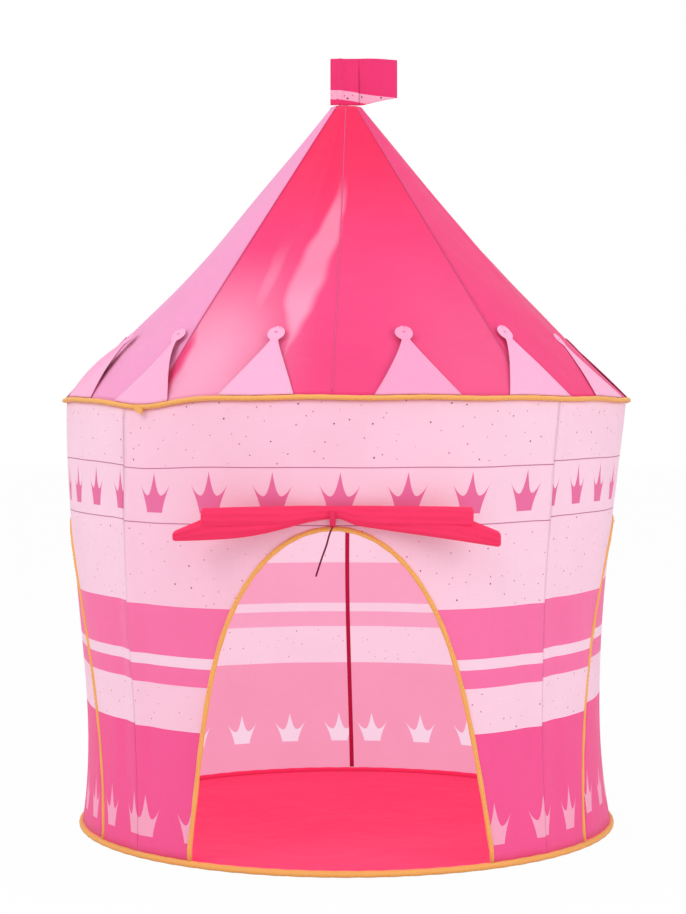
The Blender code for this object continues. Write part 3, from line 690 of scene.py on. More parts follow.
ROOF_SLANT = math.hypot(T.eave_radius - T.apex_radius, T.apex_height - T.roof_bottom)


class Library:
    """Builds each material from the shared node groups."""

    def __init__(self) -> None:
        """Makes the node groups."""
        self.weave, self.crown, self.dots, self.wrinkle = weave_group(), crown_group(), dot_group(), wrinkle_shade_group()

    def wall_print(self, nodes: Nodes, spot: Socket, light: float) -> Socket:
        """Stripes, dots, crowns and seam lines of the wall cloth.

        Args:
            nodes: where the nodes go.
            spot: the UV map, in metres round the tent and above the floor.
            light: how far the colours are lightened, for the side that light shines through.
        Returns:
            The colour.
        """
        def lit(colour: Colour, share: float = light) -> Colour:
            return tuple(c + (w - c) * share for c, w in zip(colour, COOL_LIGHT))

        across, up, _ = nodes.split(spot)
        # painted light: the pale stripes turn lighter away from the front towards the sides
        aside = nodes.ramp(nodes.size(nodes.add(across, 0.12)), 0.10, 0.45)
        pale = nodes.mix(aside, lit(PALE_FRONT), lit(PALE))
        colour: object = lit(HOT)
        for height, band in BANDS:
            colour = nodes.mix(nodes.above(up, height), colour, pale if band is PALE else lit(band))
        dots = nodes.group(self.dots, Vector=spot)
        dotted = nodes.add(*(nodes.mul(nodes.above(up, low + DOT_MARGIN), nodes.below(up, high - DOT_MARGIN))
                             for low, high in DOTTED))
        ink = nodes.mix(nodes.above(dots.outputs["Random"], 0.55), lit(DOT_SOFT), lit(DOT_DARK))
        colour = nodes.mix(nodes.mul(dots.outputs["Mask"], dotted), colour, ink)
        panel = nodes.math('ROUND', nodes.div(across, T.print_step))
        back = nodes.math('COMPARE', panel, 2.0)
        lower = nodes.add(nodes.mul(back, BACK_CROWN_RISE), LOWER_CROWNS)
        tall = nodes.sub(CROWN_HEIGHT, nodes.mul(back, BACK_CROWN_SQUASH))
        past = nodes.mul(nodes.above(across, 2.0 * T.print_step), BACK_CROWN_STEP)
        side = nodes.math('FRACT', nodes.mul(panel, 0.5))
        for low, tint, shift in ((UPPER_CROWNS, CROWN_DARK, 0.5), (lower, CROWN_PALE, side)):
            moved = nodes.sub(nodes.add(across, past, nodes.mul(shift, T.crown_spacing)), CROWN_SHIFT)
            crown = nodes.group(self.crown, Across=moved, Up=nodes.sub(up, low), Height=tall)
            colour = nodes.mix(crown.outputs["Mask"], colour, lit(tint, light * CROWN_LIGHT))
        for height in SEAMS:
            colour = nodes.mix(nodes.below(nodes.size(nodes.sub(up, height)), SEAM_HALF), colour, lit(SEAM))
        return colour

    def flag_print(self, nodes: Nodes, spot: Socket, base: Colour) -> Socket:
        """A pale wavy band with dots across the flag."""
        across, up, _ = nodes.split(spot)
        wave = nodes.mul(nodes.math('SINE', nodes.mul(across, 52.0)), 0.0016)
        level = nodes.add(nodes.mul(across, -0.122), wave)
        pale = nodes.below(nodes.size(nodes.sub(nodes.sub(up, 0.0196), level)), 0.0085)
        colour = nodes.mix(pale, base, srgb(252, 178, 208))
        dots = nodes.group(self.dots, Vector=spot, Spacing=0.016, Radius=0.0015)
        ink = nodes.mix(nodes.above(dots.outputs["Random"], 0.5), srgb(240, 60, 90), srgb(110, 20, 60))
        return nodes.mix(nodes.mul(dots.outputs["Mask"], pale), colour, ink)

    def front_light(self, nodes: Nodes, spot: Socket, colour: object, strength: float) -> Socket:
        """Painted light and shade on the front roof panel: a pale lower left corner, a faint pale lower right corner,
        two pale streaks that lean to the seam and a deeper red towards the apex.

        Args:
            nodes: where the nodes go.
            spot: the UV map: the panel's angle across and its length up, in metres.
            colour: the cloth's own colour.
            strength: share of the pale colour at the brightest place.
        Returns:
            The colour.
        """
        across, up, _ = nodes.split(spot)
        waver = nodes.mul(nodes.sub(nodes.noise(spot, 11.0, 1.0), 0.5), 0.09)
        place = nodes.add(nodes.div(across, ROOF_MAP_HALF), waver)
        share = nodes.div(up, ROOF_SLANT)
        middle = nodes.ramp(share, 0.28, 0.84, -0.31, 0.0)
        half = nodes.mul(nodes.ramp(share, 0.12, 0.38, 0.0, 0.13), nodes.ramp(share, 0.50, 0.85, 1.0, 0.3))
        off = nodes.sub(nodes.size(nodes.sub(place, middle)), half)
        leaf = nodes.mul(nodes.ramp(off, -0.05, 0.04, 1.0, 0.0), nodes.ramp(share, 0.28, 0.42, 0.85, 0.58),
                         nodes.ramp(share, 0.62, 0.76, 1.0, 0.0))
        streak = nodes.mul(nodes.ramp(nodes.size(nodes.add(place, 0.60)), 0.02, 0.11, 0.45, 0.0),
                           nodes.ramp(share, 0.14, 0.30), nodes.ramp(share, 0.36, 0.54, 1.0, 0.0))
        # the pale corner leaves out a strip along the panel's left edge low down, which keeps the darker pink
        fold = nodes.math('ADD', nodes.ramp(place, -0.97, -0.90), nodes.ramp(share, 0.16, 0.24), clamp=True)
        corner = nodes.mul(nodes.ramp(share, 0.08, 0.52, 0.95, 0.0), nodes.ramp(place, -0.80, -0.10, 1.0, 0.0), fold)
        right = nodes.mul(nodes.ramp(share, 0.10, 0.52, 1.0, 0.0), nodes.ramp(place, 0.10, 0.80, 0.0, 0.12))
        # painted shade: the panel deepens to a darker red towards the apex
        colour = nodes.mix(nodes.ramp(share, 0.34, 0.88, 0.0, 0.90), colour, srgb(242, 34, 86))
        return nodes.mix(nodes.mul(nodes.top(leaf, streak, corner, right), strength), colour, srgb(250, 186, 216))

    def cloth(self, finish: Finish, pattern: Print = Print.PLAIN, light: float = 0.0) -> Material:
        """The material for a finish.

        Args:
            finish: colours and weave.
            pattern: what is printed on it.
            light: how far a print is lightened, as painted light that shines through the cloth.
        Returns:
            The material.
        """
        material, nodes, surface = new_material(finish.name, finish.roughness)
        spot = nodes.node("ShaderNodeUVMap", uv_map="UVMap").outputs["UV"]
        colour: object = finish.colour
        if pattern is Print.WALL:
            colour = self.wall_print(nodes, spot, light)
        elif pattern is Print.FLAG:
            colour = self.flag_print(nodes, spot, finish.colour)
        # painted light and shade on the front roof panel
        if finish.streak > 0.0:
            colour = self.front_light(nodes, spot, colour, finish.streak)
        weave = nodes.group(self.weave, Vector=spot, Thread=finish.thread)
        wrinkle = nodes.group(self.wrinkle, Vector=nodes.node("ShaderNodeTexCoord").outputs["Object"])
        colour = nodes.mix(nodes.mul(weave.outputs["Shade"], finish.weave), colour, BLACK)
        # painted shade: the colour darkens towards FOLD_SHADE in the wrinkles' hollows
        fold = nodes.mul(nodes.sub(0.62, wrinkle.outputs["Shade"], clamp=True), finish.shade)
        colour = nodes.mix(fold, colour, FOLD_SHADE)
        fine = nodes.feed(nodes.node("ShaderNodeBump"), Strength=finish.weave, Distance=WEAVE_DEPTH,
                          Height=weave.outputs["Height"])
        broad = nodes.feed(nodes.node("ShaderNodeBump"), Strength=finish.wrinkle, Distance=WRINKLE_DEPTH,
                           Height=wrinkle.outputs["Height"], Normal=fine.outputs["Normal"])
        nodes.feed(surface, Base_Color=nodes.mix(1.0 - finish.body, colour, BLACK), Specular_IOR_Level=0.25,
                   Sheen_Weight=finish.sheen, Sheen_Roughness=0.4, Normal=broad.outputs["Normal"])
        # painted light: the cloth glows in its own colour, for the light that shines through it
        if finish.glow > 0.0:
            nodes.feed(surface, Emission_Color=colour, Emission_Strength=finish.glow)
        return material

    def plastic(self, name: str, colour: Colour, roughness: float) -> Material:
        """A plain moulded or coated finish with slight mottling."""
        material, nodes, surface = new_material(name, roughness)
        grain = nodes.noise(nodes.node("ShaderNodeTexCoord").outputs["Object"], 240.0)
        dim = tuple(c * 0.6 for c in colour)
        nodes.feed(surface, Base_Color=nodes.mix(nodes.mul(grain, 0.15), colour, dim))
        return material


class Fabrics:
    """The finishes of the tent."""

    def __init__(self) -> None:
        """Builds every material."""
        library = Library()
        cloth, plastic = library.cloth, library.plastic
        self.wall = cloth(Finish("printed_outside", PALE), Print.WALL)
        # painted light: the inside of the wall glows and its print is lightened, for light that shines through the
        # cloth
        self.wall_inside = cloth(Finish("printed_inside", PALE, glow=0.78, body=0.25), Print.WALL, light=0.38)
        self.roof = cloth(Finish("roof_pink", ROOF_PINK, shade=0.16, sheen=0.10))
        # painted light and shade on the front panel, laid on by front_light
        self.roof_front = cloth(Finish("roof_front_pink", ROOF_PINK, shade=0.16, sheen=0.10, streak=0.74))
        # painted light: the roof's inside glows, for light that shines through the cloth
        self.roof_inside = cloth(Finish("roof_inside", srgb(250, 110, 160), glow=0.35))
        # a paler copy of the roof cloth for the left panel: painted sheen, the light that the cloth reflects on that
        # side
        self.sheen_roof_left = cloth(Finish("roof_left_painted_sheen", srgb(243, 156, 202), shade=0.12))
        self.flap = cloth(Finish("flap_pale", srgb(252, 178, 214), shade=0.05))
        # a darker copy of the flap cloth for the third flap: painted shade
        self.flap_shaded = cloth(Finish("flap_painted_shade", srgb(252, 162, 202), shade=0.05))
        self.flap_back = cloth(Finish("flap_back", srgb(205, 70, 130)))
        # painted light: the floor glows, for light that comes in through the walls
        self.floor = cloth(Finish("floor_crimson", srgb(240, 64, 114), wrinkle=0.35, sheen=0.05, glow=0.20))
        self.roll = cloth(Finish("roll_crimson", srgb(252, 52, 102), wrinkle=0.5, shade=0.2, sheen=0.05))
        self.binding = cloth(Finish("binding_yellow", srgb(250, 182, 100), thread=0.0008, weave=0.4))
        self.binding_thread = cloth(Finish("stitch_orange", srgb(232, 140, 60), thread=0.0004))
        self.stitch = cloth(Finish("stitch_pink", srgb(226, 84, 140), thread=0.0004))
        self.dark = cloth(Finish("tape_crimson", srgb(190, 34, 90), thread=0.0008))
        self.tie = cloth(Finish("tape_roll", srgb(236, 42, 92), thread=0.0008))
        self.cord = cloth(Finish("cord_crimson", srgb(112, 16, 52), thread=0.0006))
        self.flag = cloth(Finish("flag_pink", srgb(240, 52, 118), shade=0.15), Print.FLAG)
        self.wire = plastic("wire_coat", srgb(225, 224, 222), 0.4)
        self.pole = plastic("pole_fibre", srgb(228, 228, 224), 0.45)
        self.fitting = plastic("fitting_plastic", srgb(214, 213, 210), 0.5)


# Builders
class Builder:
    """Builds one sub-assembly of the tent."""

    def __init__(self, fabrics: Fabrics, stitcher: Optional["Stitcher"] = None) -> None:
        """Args: fabrics: the tent's finishes. stitcher: sews the stitches, where there are any."""
        self.fabrics = fabrics
        self.stitcher = stitcher


def ease_out(low: float, high: float, count: int) -> np.ndarray:
    """Numbers from low to high that lie closer together near high."""
    return low + (high - low) * (1.0 - (1.0 - np.linspace(0.0, 1.0, count)) ** 2.0)


class Walls(Builder):
    """Four printed wall panels, the curtains in the side arches and the back tape."""

    ROWS = 70
    ROWS_ABOVE = 28
    ROWS_PLAIN = 90
    HALF_COLUMNS = 45
    CURTAIN_ROWS = 60
    CURTAIN_COLUMNS = 44
    LOWEST = 0.0092
    CORNER_RIDGE, CORNER_TROUGH, DRAPE, PULL = 0.0045, 0.0030, 0.0014, 0.0016
    CURTAIN_LOWEST = 0.0125
    CURTAIN_GAP = 0.0010
    HEAD_GAP = 0.004
    HEAD_FOLD = 0.011
    TAPE_HALF = 0.0042
    TAPE_ENDS = (0.012, 0.758)
    PANELS = (("front", 0.0, True), ("right", 90.0, True), ("back", 180.0, False), ("left", 270.0, True))
    # how far each panel's print lies higher than the front one's, as it was sewn
    SHIFTS = {0.0: 0.0, 90.0: 0.006, 180.0: 0.0055, 270.0: 0.003}

    wave = staticmethod(ripple(TENT_SEED, 9))

    def push(self, angle: float, height: float) -> float:
        """Wrinkles: outward push of the wall, fading at its edges."""
        fade = math.sin(math.pi * clip(height / T.wall_top)) ** 0.5
        turn = (angle - T.seam_angle + 45.0) % 90.0 - 45.0
        ridge = self.CORNER_RIDGE * bump(turn, 0.0, 2.2)
        trough = self.CORNER_TROUGH * (bump(turn, 4.5, 2.2) + bump(turn, -4.5, 2.2))
        drape = self.DRAPE * self.wave(math.radians(angle) * 0.9, height * 1.1)
        pull = self.PULL * math.sin(abs(turn) * 0.55 + height * 26.0) * bump(height, 0.70, 0.11)
        return (ridge - trough + drape) * fade + pull * bump(turn, 0.0, 16.0)

    def spot(self, angle: float, height: float, facing: float, lift: float = 0.0) -> np.ndarray:
        """A place on the wall: x, y, z and its two lengths in the UV map, where each panel's print has its own place.

        Args:
            angle: degrees round the tent.
            height: metres above the ground.
            facing: angle of the panel's middle.
            lift: how much higher its print lies, in metres.
        Returns:
            Five numbers.
        """
        sag = 0.007 * max(0.0, math.sin(math.radians(135.0 * clip((abs(wrap(angle)) - 30.0) / 90.0))))
        shift = (sag + self.SHIFTS[facing]) * min(1.0, height / 0.12) + lift
        stretch = SIDE_STRETCH if facing in (90.0, 270.0) else 1.0
        across = math.radians(angle - facing) * T.base_radius * stretch + facing / 90.0 * T.print_step
        return np.append(wall_spot(angle, height, self.push(angle, height)), (across, height - shift))

    def panel(self, side: str, facing: float, arch: bool) -> None:
        """One wall panel, from seam to seam, with an arch cut out of it or not."""
        reach = T.arch_tape * 0.2
        top = T.arch_height + reach
        seam = math.degrees(T.gap / T.base_radius)
        heights = np.linspace(self.LOWEST, T.wall_top, self.ROWS_PLAIN)
        if arch:
            above = np.linspace(top, T.wall_top, self.ROWS_ABOVE)[1:]
            heights = np.concatenate([ease_out(self.LOWEST, top, self.ROWS), above])

        def strip(way: float) -> np.ndarray:
            def spot(height: float, share: float) -> np.ndarray:
                inner = facing
                if arch and height < top:
                    inner = across_angle(facing, way * (arch_half_width(height) + reach), height)
                return self.spot(inner + (facing + way * (45.0 - seam) - inner) * share, height, facing)

            return grid(heights, np.linspace(0.0, 1.0, self.HALF_COLUMNS), spot)

        left, right = strip(-1.0)[:, ::-1], strip(1.0)
        if arch:
            item = self.split_shell("cloth_wall_" + side, left, right, int(np.searchsorted(heights, top - 1e-9)))
        else:
            item = shell("cloth_wall_" + side, np.concatenate([left, right[:, 1:]], axis=1), T.trim,
                         self.fabrics.wall, self.fabrics.wall_inside)
        dress(item, Body.TENT, "printed_cloth", "wall_" + side)
        sheet("eave_binding, base_binding")

    def split_shell(self, name: str, left: np.ndarray, right: np.ndarray, meet: int) -> Mesh:
        """One closed shell from a left and a right strip that meet above the arch, from the row meet upward."""
        keep = np.ones((2, *left.shape[:2]), dtype=bool)
        keep[1, meet:, 0] = False
        index = np.cumsum(keep).reshape(keep.shape) - 1
        index[1, meet:, 0] = index[0, meet:, -1]
        spots = np.stack([left, right])[keep]
        normals = np.stack([grid_normals(left[:, :, :3]), grid_normals(right[:, :, :3])])[keep]
        return thicken(name, spots[:, :3], normals, quads_of(index[0]) + quads_of(index[1]), T.trim,
                       self.fabrics.wall, self.fabrics.wall_inside, spots[:, 3:])

    def curtain(self, side: str, facing: float, body: Body, lift: float) -> None:
        """The cloth panel that hangs in a side arch.

        Its head is on the hinge line, and a fold under the head leaves room for the arch when it swings out.

        Args:
            side: left or right.
            facing: angle of the arch's middle.
            body: the body that it rides on.
            lift: how much higher its print lies, in metres.
        """
        inset = T.arch_tape + self.CURTAIN_GAP
        high = T.arch_height - inset - self.HEAD_GAP
        heights = ease_out(self.CURTAIN_LOWEST, high, self.CURTAIN_ROWS)
        last = self.CURTAIN_ROWS - 1

        def spot(row: int, place: float) -> np.ndarray:
            height = heights[row]
            half = max(arch_half_width(height + inset * row / last) - inset, 0.012)
            fold = self.HEAD_FOLD * bump(high - height, 0.014, 0.011)
            found = self.spot(across_angle(facing, place * half, height), height, facing, lift)
            found[:3] -= lean(height) * bump(height, high, 0.035) + polar(facing, fold, 0.0)
            return found

        points = grid(range(self.CURTAIN_ROWS), np.linspace(-1.0, 1.0, self.CURTAIN_COLUMNS), spot)
        item = shell(f"cloth_{side}_curtain", points, T.trim, self.fabrics.wall, self.fabrics.wall_inside)
        dress(item, body, "printed_cloth", side + "_curtain")
        sheet(side + "_arch_binding")

    def tape(self) -> None:
        """The dark tape down the inside of the back wall."""
        def spot(height: float, across: float) -> np.ndarray:
            reach = wall_radius(180.0, height) + self.push(180.0, height) - T.cloth / 2.0 - 0.0012
            return polar(180.0 - math.degrees(across / 0.47), reach, height) + lean(height)

        points = grid(np.linspace(*self.TAPE_ENDS, 60), (-self.TAPE_HALF, 0.0, self.TAPE_HALF), spot)
        item = shell("cloth_back_tape", points, T.thin, self.fabrics.dark, uv=points[:, :, [0, 2]])
        dress(item, Body.TENT, "dark_tape", "back_seam_tape")

    def build(self) -> None:
        """Builds all the wall pieces."""
        for side, facing, arch in self.PANELS:
            self.panel(side, facing, arch)
        self.curtain("left", 270.0, Body.LEFT, 0.0)
        self.curtain("right", 90.0, Body.RIGHT, 0.013)
        self.tape()


def stitch_group() -> Tree:
    """Geometry Nodes: a short thread on each point, laid along the point's own direction."""
    tree = bpy.data.node_groups.new("stitches", 'GeometryNodeTree')
    for label, kind in (("Geometry", 'Geometry'), ("Length", 'Float'), ("Width", 'Float'), ("Material", 'Material')):
        tree.interface.new_socket(label, in_out='INPUT', socket_type='NodeSocket' + kind)
    tree.interface.new_socket("Geometry", in_out='OUTPUT', socket_type='NodeSocketGeometry')
    nodes = Nodes(tree)
    given = nodes.node("NodeGroupInput").outputs
    thread = nodes.feed(nodes.node("GeometryNodeMeshUVSphere"), Segments=6, Rings=4, Radius=0.5)
    size = nodes.join(given["Width"], given["Width"], given["Length"])
    narrow = nodes.feed(nodes.node("GeometryNodeTransform"), Geometry=thread.outputs["Mesh"], Scale=size)
    lie = nodes.feed(nodes.node("GeometryNodeInputNamedAttribute", data_type='FLOAT_VECTOR'), Name="lie")
    turn = nodes.feed(nodes.node("FunctionNodeAlignRotationToVector", axis='Z'), Vector=lie.outputs["Attribute"])
    place = nodes.feed(nodes.node("GeometryNodeInstanceOnPoints"), Points=given["Geometry"],
                       Instance=narrow.outputs["Geometry"], Rotation=turn.outputs["Rotation"])
    real = nodes.feed(nodes.node("GeometryNodeRealizeInstances"), Geometry=place.outputs["Instances"])
    finish = nodes.feed(nodes.node("GeometryNodeSetMaterial"), Geometry=real.outputs["Geometry"],
                        Material=given["Material"])
    nodes.feed(nodes.node("NodeGroupOutput"), Geometry=finish.outputs["Geometry"])
    return tree


class Stitcher:
    """Sews rows of stitches as plain meshes."""

    def __init__(self) -> None:
        """Makes the node group."""
        self.tree = stitch_group()

    def sew(self, name: str, places: Sequence, lies: Sequence, material: Material, slot: str, length: float,
            width: float = 0.0007) -> None:
        """Stitches at places on the tent, each along its own direction.

        Args:
            name: the new object's name.
            places: the middle of each stitch.
            lies: the direction of each stitch.
            material: the thread's finish.
            slot: the name of its material slot, which is not used.
            length: of a stitch, in metres.
            width: of a stitch, in metres.
        """
        seed = new_object(name + "_seed", places, [], [material])
        attribute = seed.data.attributes.new("lie", 'FLOAT_VECTOR', 'POINT')
        attribute.data.foreach_set("vector", np.asarray(lies, dtype=np.float32).ravel())
        modifier = seed.modifiers.new("stitches", 'NODES')
        modifier.node_group = self.tree
        values = {"Length": length, "Width": width, "Material": material}
        for socket in self.tree.interface.items_tree:
            if socket.in_out == 'INPUT' and socket.name in values:
                modifier[socket.identifier] = values[socket.name]
        bpy.context.view_layer.update()
        mesh = bpy.data.meshes.new_from_object(seed.evaluated_get(bpy.context.evaluated_depsgraph_get()))
        mesh.name = name
        bpy.data.objects.remove(seed)
        dress(link(bpy.data.objects.new(name, mesh)), Body.TENT, slot)


class Roof(Builder):
    """Four roof panels, the seams down the front one and along the ridges, and the pale flaps at the eave."""

    PANELS = (("roof_front", 0.0, 37.5), ("roof_right", 90.0, 52.5), ("roof_back", 180.0, 37.5),
              ("roof_left", 270.0, 52.5))
    SEAMS = (-1.2, -37.5, 37.5, 142.5, 217.5)
    FLAP_ANGLES = (-40.4, -14.7, 14.7, 40.4, 65.2, 90.0, 114.8, 140.5, 166.0, -166.0, -140.5, -114.8, -90.0, -65.2)
    # tilt of the tip sideways, and how far the left and the right edge lift
    CURLS = {1: (-0.004, 0.000, 0.012), 2: (0.000, 0.002, 0.002), 3: (-0.003, 0.004, 0.001),
             4: (0.000, 0.003, 0.004), 5: (0.002, 0.001, 0.000), 6: (0.000, 0.001, 0.000), 14: (0.000, 0.010, 0.004)}
    # width of the left and the right half of a flap, as a share of the CAD's
    HALVES = {1: (1.0, 0.88), 2: (1.0, 0.84), 3: (1.07, 1.0)}
    # how much of the CAD's curl the flaps at the right edge keep
    FLATTER = {5: 0.2, 6: 0.1}
    KNOB = (36, 8)
    GATHER, SOFT_WAVE, CREASE = 0.0032, 0.0022, 0.0035
    SEAM_RADIUS = 0.0011
    SEAM_LIFT = 0.0010
    LEAST_FLAP_SHARE = 0.31

    wave = staticmethod(ripple(TENT_SEED + 1, 9))

    def push(self, angle: float, share: float) -> float:
        """Creases of the roof: gathers below the apex and soft waves lower down."""
        place, swell = roof_place(angle), math.sin(math.pi * share)
        gather = self.GATHER * math.sin(place * 23.0 + 3.0 * share) * max(0.0, share - 0.45) * (1.0 - share)
        soft = self.SOFT_WAVE * self.wave(math.radians(angle) * 0.55, share * 0.55) * swell
        crease = self.CREASE * bump(place, -0.30 - 0.25 * (1.0 - share), 0.07) * swell
        return (gather + soft + crease) * (1.0 - place ** 6)

    def panel(self, name: str, facing: float, half: float) -> None:
        """One roof panel."""
        def spot(share: float, place: float) -> tuple[float, ...]:
            angle = facing + place * (half - math.degrees(T.gap / roof_radius(share)))
            across = math.radians(place * half) * ROOF_MAP_SCALE
            return *roof_point(angle, share, self.push(angle, share)), across, share * ROOF_SLANT

        # the left panel takes the paler copy with its painted sheen, the front one the painted light and shade of
        # front_light
        outer = {"roof_left": self.fabrics.sheen_roof_left, "roof_front": self.fabrics.roof_front}.get(name, self.fabrics.roof)
        points = grid(np.linspace(0.0, 0.995, 80), np.linspace(-1.0, 1.0, 76), spot)
        item = shell("cloth_" + name, points, T.trim, outer, self.fabrics.roof_inside)
        dress(item, Body.TENT, "pale_roof_cloth" if name == "roof_left" else "roof_cloth", name)
        sheet("eave_binding")

    def seams(self) -> None:
        """Sewn seam lines: down the front panel and along the four ridges."""
        shares = np.linspace(0.01, 0.985, 70)
        for index, angle in enumerate(self.SEAMS):
            path = [roof_point(angle, share, self.push(angle, share) + self.SEAM_LIFT) for share in shares]
            item = sweep(f"seam_{index}", path, [self.SEAM_RADIUS] * len(path), 6, self.fabrics.stitch, flat=0.7)
            dress(item, Body.TENT, "roof_cloth")

    @staticmethod
    def half_width(share: float) -> float:
        """Half the width of a flap at a share of its length."""
        if share < T.flap_knob_share:
            spread = (1.0 - share / T.flap_knob_share) ** T.flap_hollow
            return T.flap_neck / 2.0 + (T.flap_width - T.flap_neck) / 2.0 * spread
        knob = (share - T.flap_knob_share) / (1.0 - T.flap_knob_share)
        round_share = math.sqrt(max(0.0, 1.0 - (2.0 * knob - 1.0) ** 2))
        return max(T.flap_neck * (1.0 - knob ** 6), T.flap_knob * round_share, 0.002) / 2.0

    def flap(self, number: int, facing: float) -> tuple[np.ndarray, np.ndarray]:
        """One flap. Returns the place and direction of the stitch on its knob."""
        tilt, left, right = self.CURLS.get(number, (0.002 * math.sin(number * 2.3), 0.003, 0.004))
        halves = self.HALVES.get(number, (1.0, 1.0))
        curl = T.flap_curl * self.FLATTER.get(number, 1.0)

        def spot(up: float, across: float) -> tuple[float, ...]:
            share = (up * T.flap_length - T.flap_seat) / ROOF_SLANT
            wide = halves[0 if across < 0.0 else 1]
            offset = across * self.half_width(up) * (1.0 - (1.0 - wide) * (1.0 - up)) + tilt * up * up
            edge = left * max(0.0, -across) ** 2 + right * max(0.0, across) ** 2
            lift = T.flap_lift + curl * up * up + edge * math.sin(math.pi * min(1.0, up * 1.1))
            lift += 0.0010 * math.sin(across * 5.0 + number) * up
            place = roof_point(facing + math.degrees(offset / roof_radius(share)), share, lift)
            return *place, offset, up * T.flap_length

        shares = np.concatenate([np.linspace(0.0, 0.78, 26), np.linspace(0.79, 1.0, 18)])
        points = grid(shares, np.linspace(-1.0, 1.0, 17), spot)
        # painted shade: the third flap takes the darker copy of the flap cloth
        outer = self.fabrics.flap_shaded if number == 3 else self.fabrics.flap
        item = shell(f"cloth_flap_{number:02d}", points, T.trim * 0.8, outer, self.fabrics.flap_back)
        dress(item, Body.TENT, "flap_cloth", f"roof_flap_{number:02d}")
        sheet("eave_binding")
        places = points[:, :, :3]
        along = places[self.KNOB[0], self.KNOB[1] + 2] - places[self.KNOB]
        return places[self.KNOB] + grid_normals(places)[self.KNOB] * 0.0008, along / np.linalg.norm(along)

    def build(self) -> None:
        """Builds the roof."""
        for name, facing, half in self.PANELS:
            self.panel(name, facing, half)
        self.seams()
        marks = [self.flap(number + 1, angle) for number, angle in enumerate(self.FLAP_ANGLES)]
        self.stitcher.sew("knob_stitches", [place for place, _ in marks], [lie for _, lie in marks],
                          self.fabrics.stitch, "flap_cloth", length=0.007, width=0.0014)


class Bindings(Builder):
    """Yellow tape round the base, the eave and the three arches."""

    HOOP_STEPS = 288
    SIDES, WIRE_SIDES = 14, 10
    UNEVEN = 0.0003
    INSIDE = 0.0008
    FOOT_HEIGHT, FOOT_DRAWN_IN = 0.03, 0.004
    STITCH_STEP = 0.0085
    END_MARGIN = 0.006
    ARCHES = (("door_arch", 0.0), ("right_arch", 90.0), ("left_arch", -90.0))

    def thread(self, name: str, places: np.ndarray, lies: np.ndarray, out: float, down: float, length: float) -> None:
        """Stitches along a tape.

        Args:
            name: the tape's name.
            places: points on its middle line.
            lies: the direction of each stitch.
            out: how far the stitches stand outward from the line, in metres.
            down: how far they lie below it, in metres.
            length: of a stitch, in metres.
        """
        spots = [place + outward(place) * out - (0.0, 0.0, down) for place in places]
        self.stitcher.sew("thread_" + name, spots, lies, self.fabrics.binding_thread, "yellow_binding", length)

    def hoop(self, name: str, radius: float, height: float, dips: bool) -> None:
        """A taped hoop.

        Args:
            name: the CAD node that it stands for.
            radius: of its middle line.
            height: of its middle line.
            dips: whether it follows the eave's sag.
        """
        steps = range(self.HOOP_STEPS)
        angles = [360.0 * step / self.HOOP_STEPS for step in steps]
        path = np.array([polar(angle, radius, height - eave_sag(angle) * dips) for angle in angles])
        radii = [T.hoop_radius + self.UNEVEN * math.sin(step * 1.7) for step in steps]
        item = sweep("tape_" + name, path, radii, self.SIDES, self.fabrics.binding, closed=True,
                     flat=T.eave_flat if dips else 1.0)
        dress(item, Body.TENT, "yellow_binding", name)
        if not dips:
            # the floor's cloth covers the base tape from inside
            item.data.materials.append(self.fabrics.floor)
            for face in item.data.polygons:
                if math.hypot(face.center.x, face.center.y) < radius - self.INSIDE:
                    face.material_index = 1
        hoop = name.replace("binding", "hoop_wire")
        wire = sweep("wire_" + hoop, path, [T.hoop_wire] * len(path), self.WIRE_SIDES, self.fabrics.wire, closed=True)
        dress(wire, Body.TENT, "coated_wire", hoop)
        after = np.roll(path, -1, axis=0)
        self.thread(name, (path + after) / 2.0, after - path, T.hoop_radius * 0.88, T.hoop_radius * 0.45, 0.0055)

    def arch(self, name: str, facing: float) -> None:
        """A taped arch, from foot to foot."""
        low = T.hoop_radius * 2.0 + T.gap * 2.0
        path = []
        for place in np.linspace(-1.0, 1.0, 121):
            height = low + (T.arch_height - low) * (1.0 - place * place)
            drawn_in = self.FOOT_DRAWN_IN * (1.0 - min(1.0, height / self.FOOT_HEIGHT))
            across = math.copysign(1.0, place) * (arch_half_width(height) - drawn_in)
            path.append(wall_spot(across_angle(facing, across, height), height))
        radii = [T.arch_tape + self.UNEVEN * math.sin(step * 1.3) for step in range(len(path))]
        middle = path[len(path) // 2]
        item = sweep("tape_" + name, path, radii, self.SIDES, self.fabrics.binding, up=outward(middle))
        dress(item, Body.TENT, "yellow_binding", name + "_binding")
        inner = path[1:-1]
        wire = sweep("wire_" + name, inner, [T.arch_wire] * len(inner), self.WIRE_SIDES, self.fabrics.wire)
        dress(wire, Body.TENT, "coated_wire", name + "_wire")
        line = np.array(path)
        lengths = along_line(line)
        marks = np.arange(self.END_MARGIN, lengths[-1] - self.END_MARGIN, self.STITCH_STEP)
        here, ahead = (np.stack([np.interp(at, lengths, line[:, k]) for k in range(3)], axis=1)
                       for at in (marks, marks + 0.004))
        self.thread(name, here, ahead - here, T.arch_tape * 0.98, 0.0, 0.0045)

    def tab(self) -> None:
        """The end of the eave's tape, which hangs out where it dips."""
        radius = T.eave_radius + T.hoop_setback + T.hoop_radius * 0.9
        height = T.eave_height - eave_sag(T.dip_angle)
        path = [polar(T.dip_angle + 2.0 * share, radius + 0.001 * share, height - 0.009 * share)
                for share in np.linspace(0.0, 1.0, 7)]
        item = sweep("tape_eave_tab", path, np.linspace(0.0062, 0.0046, 7), 12, self.fabrics.binding, flat=0.25,
                     up=polar(T.dip_angle, 1.0, 0.0))
        dress(item, Body.TENT, "yellow_binding")

    def build(self) -> None:
        """Builds every binding."""
        self.hoop("base_binding", T.base_radius, T.hoop_radius, False)
        self.hoop("eave_binding", T.eave_radius + T.hoop_setback, T.eave_height, True)
        self.tab()
        for name, facing in self.ARCHES:
            self.arch(name, facing)


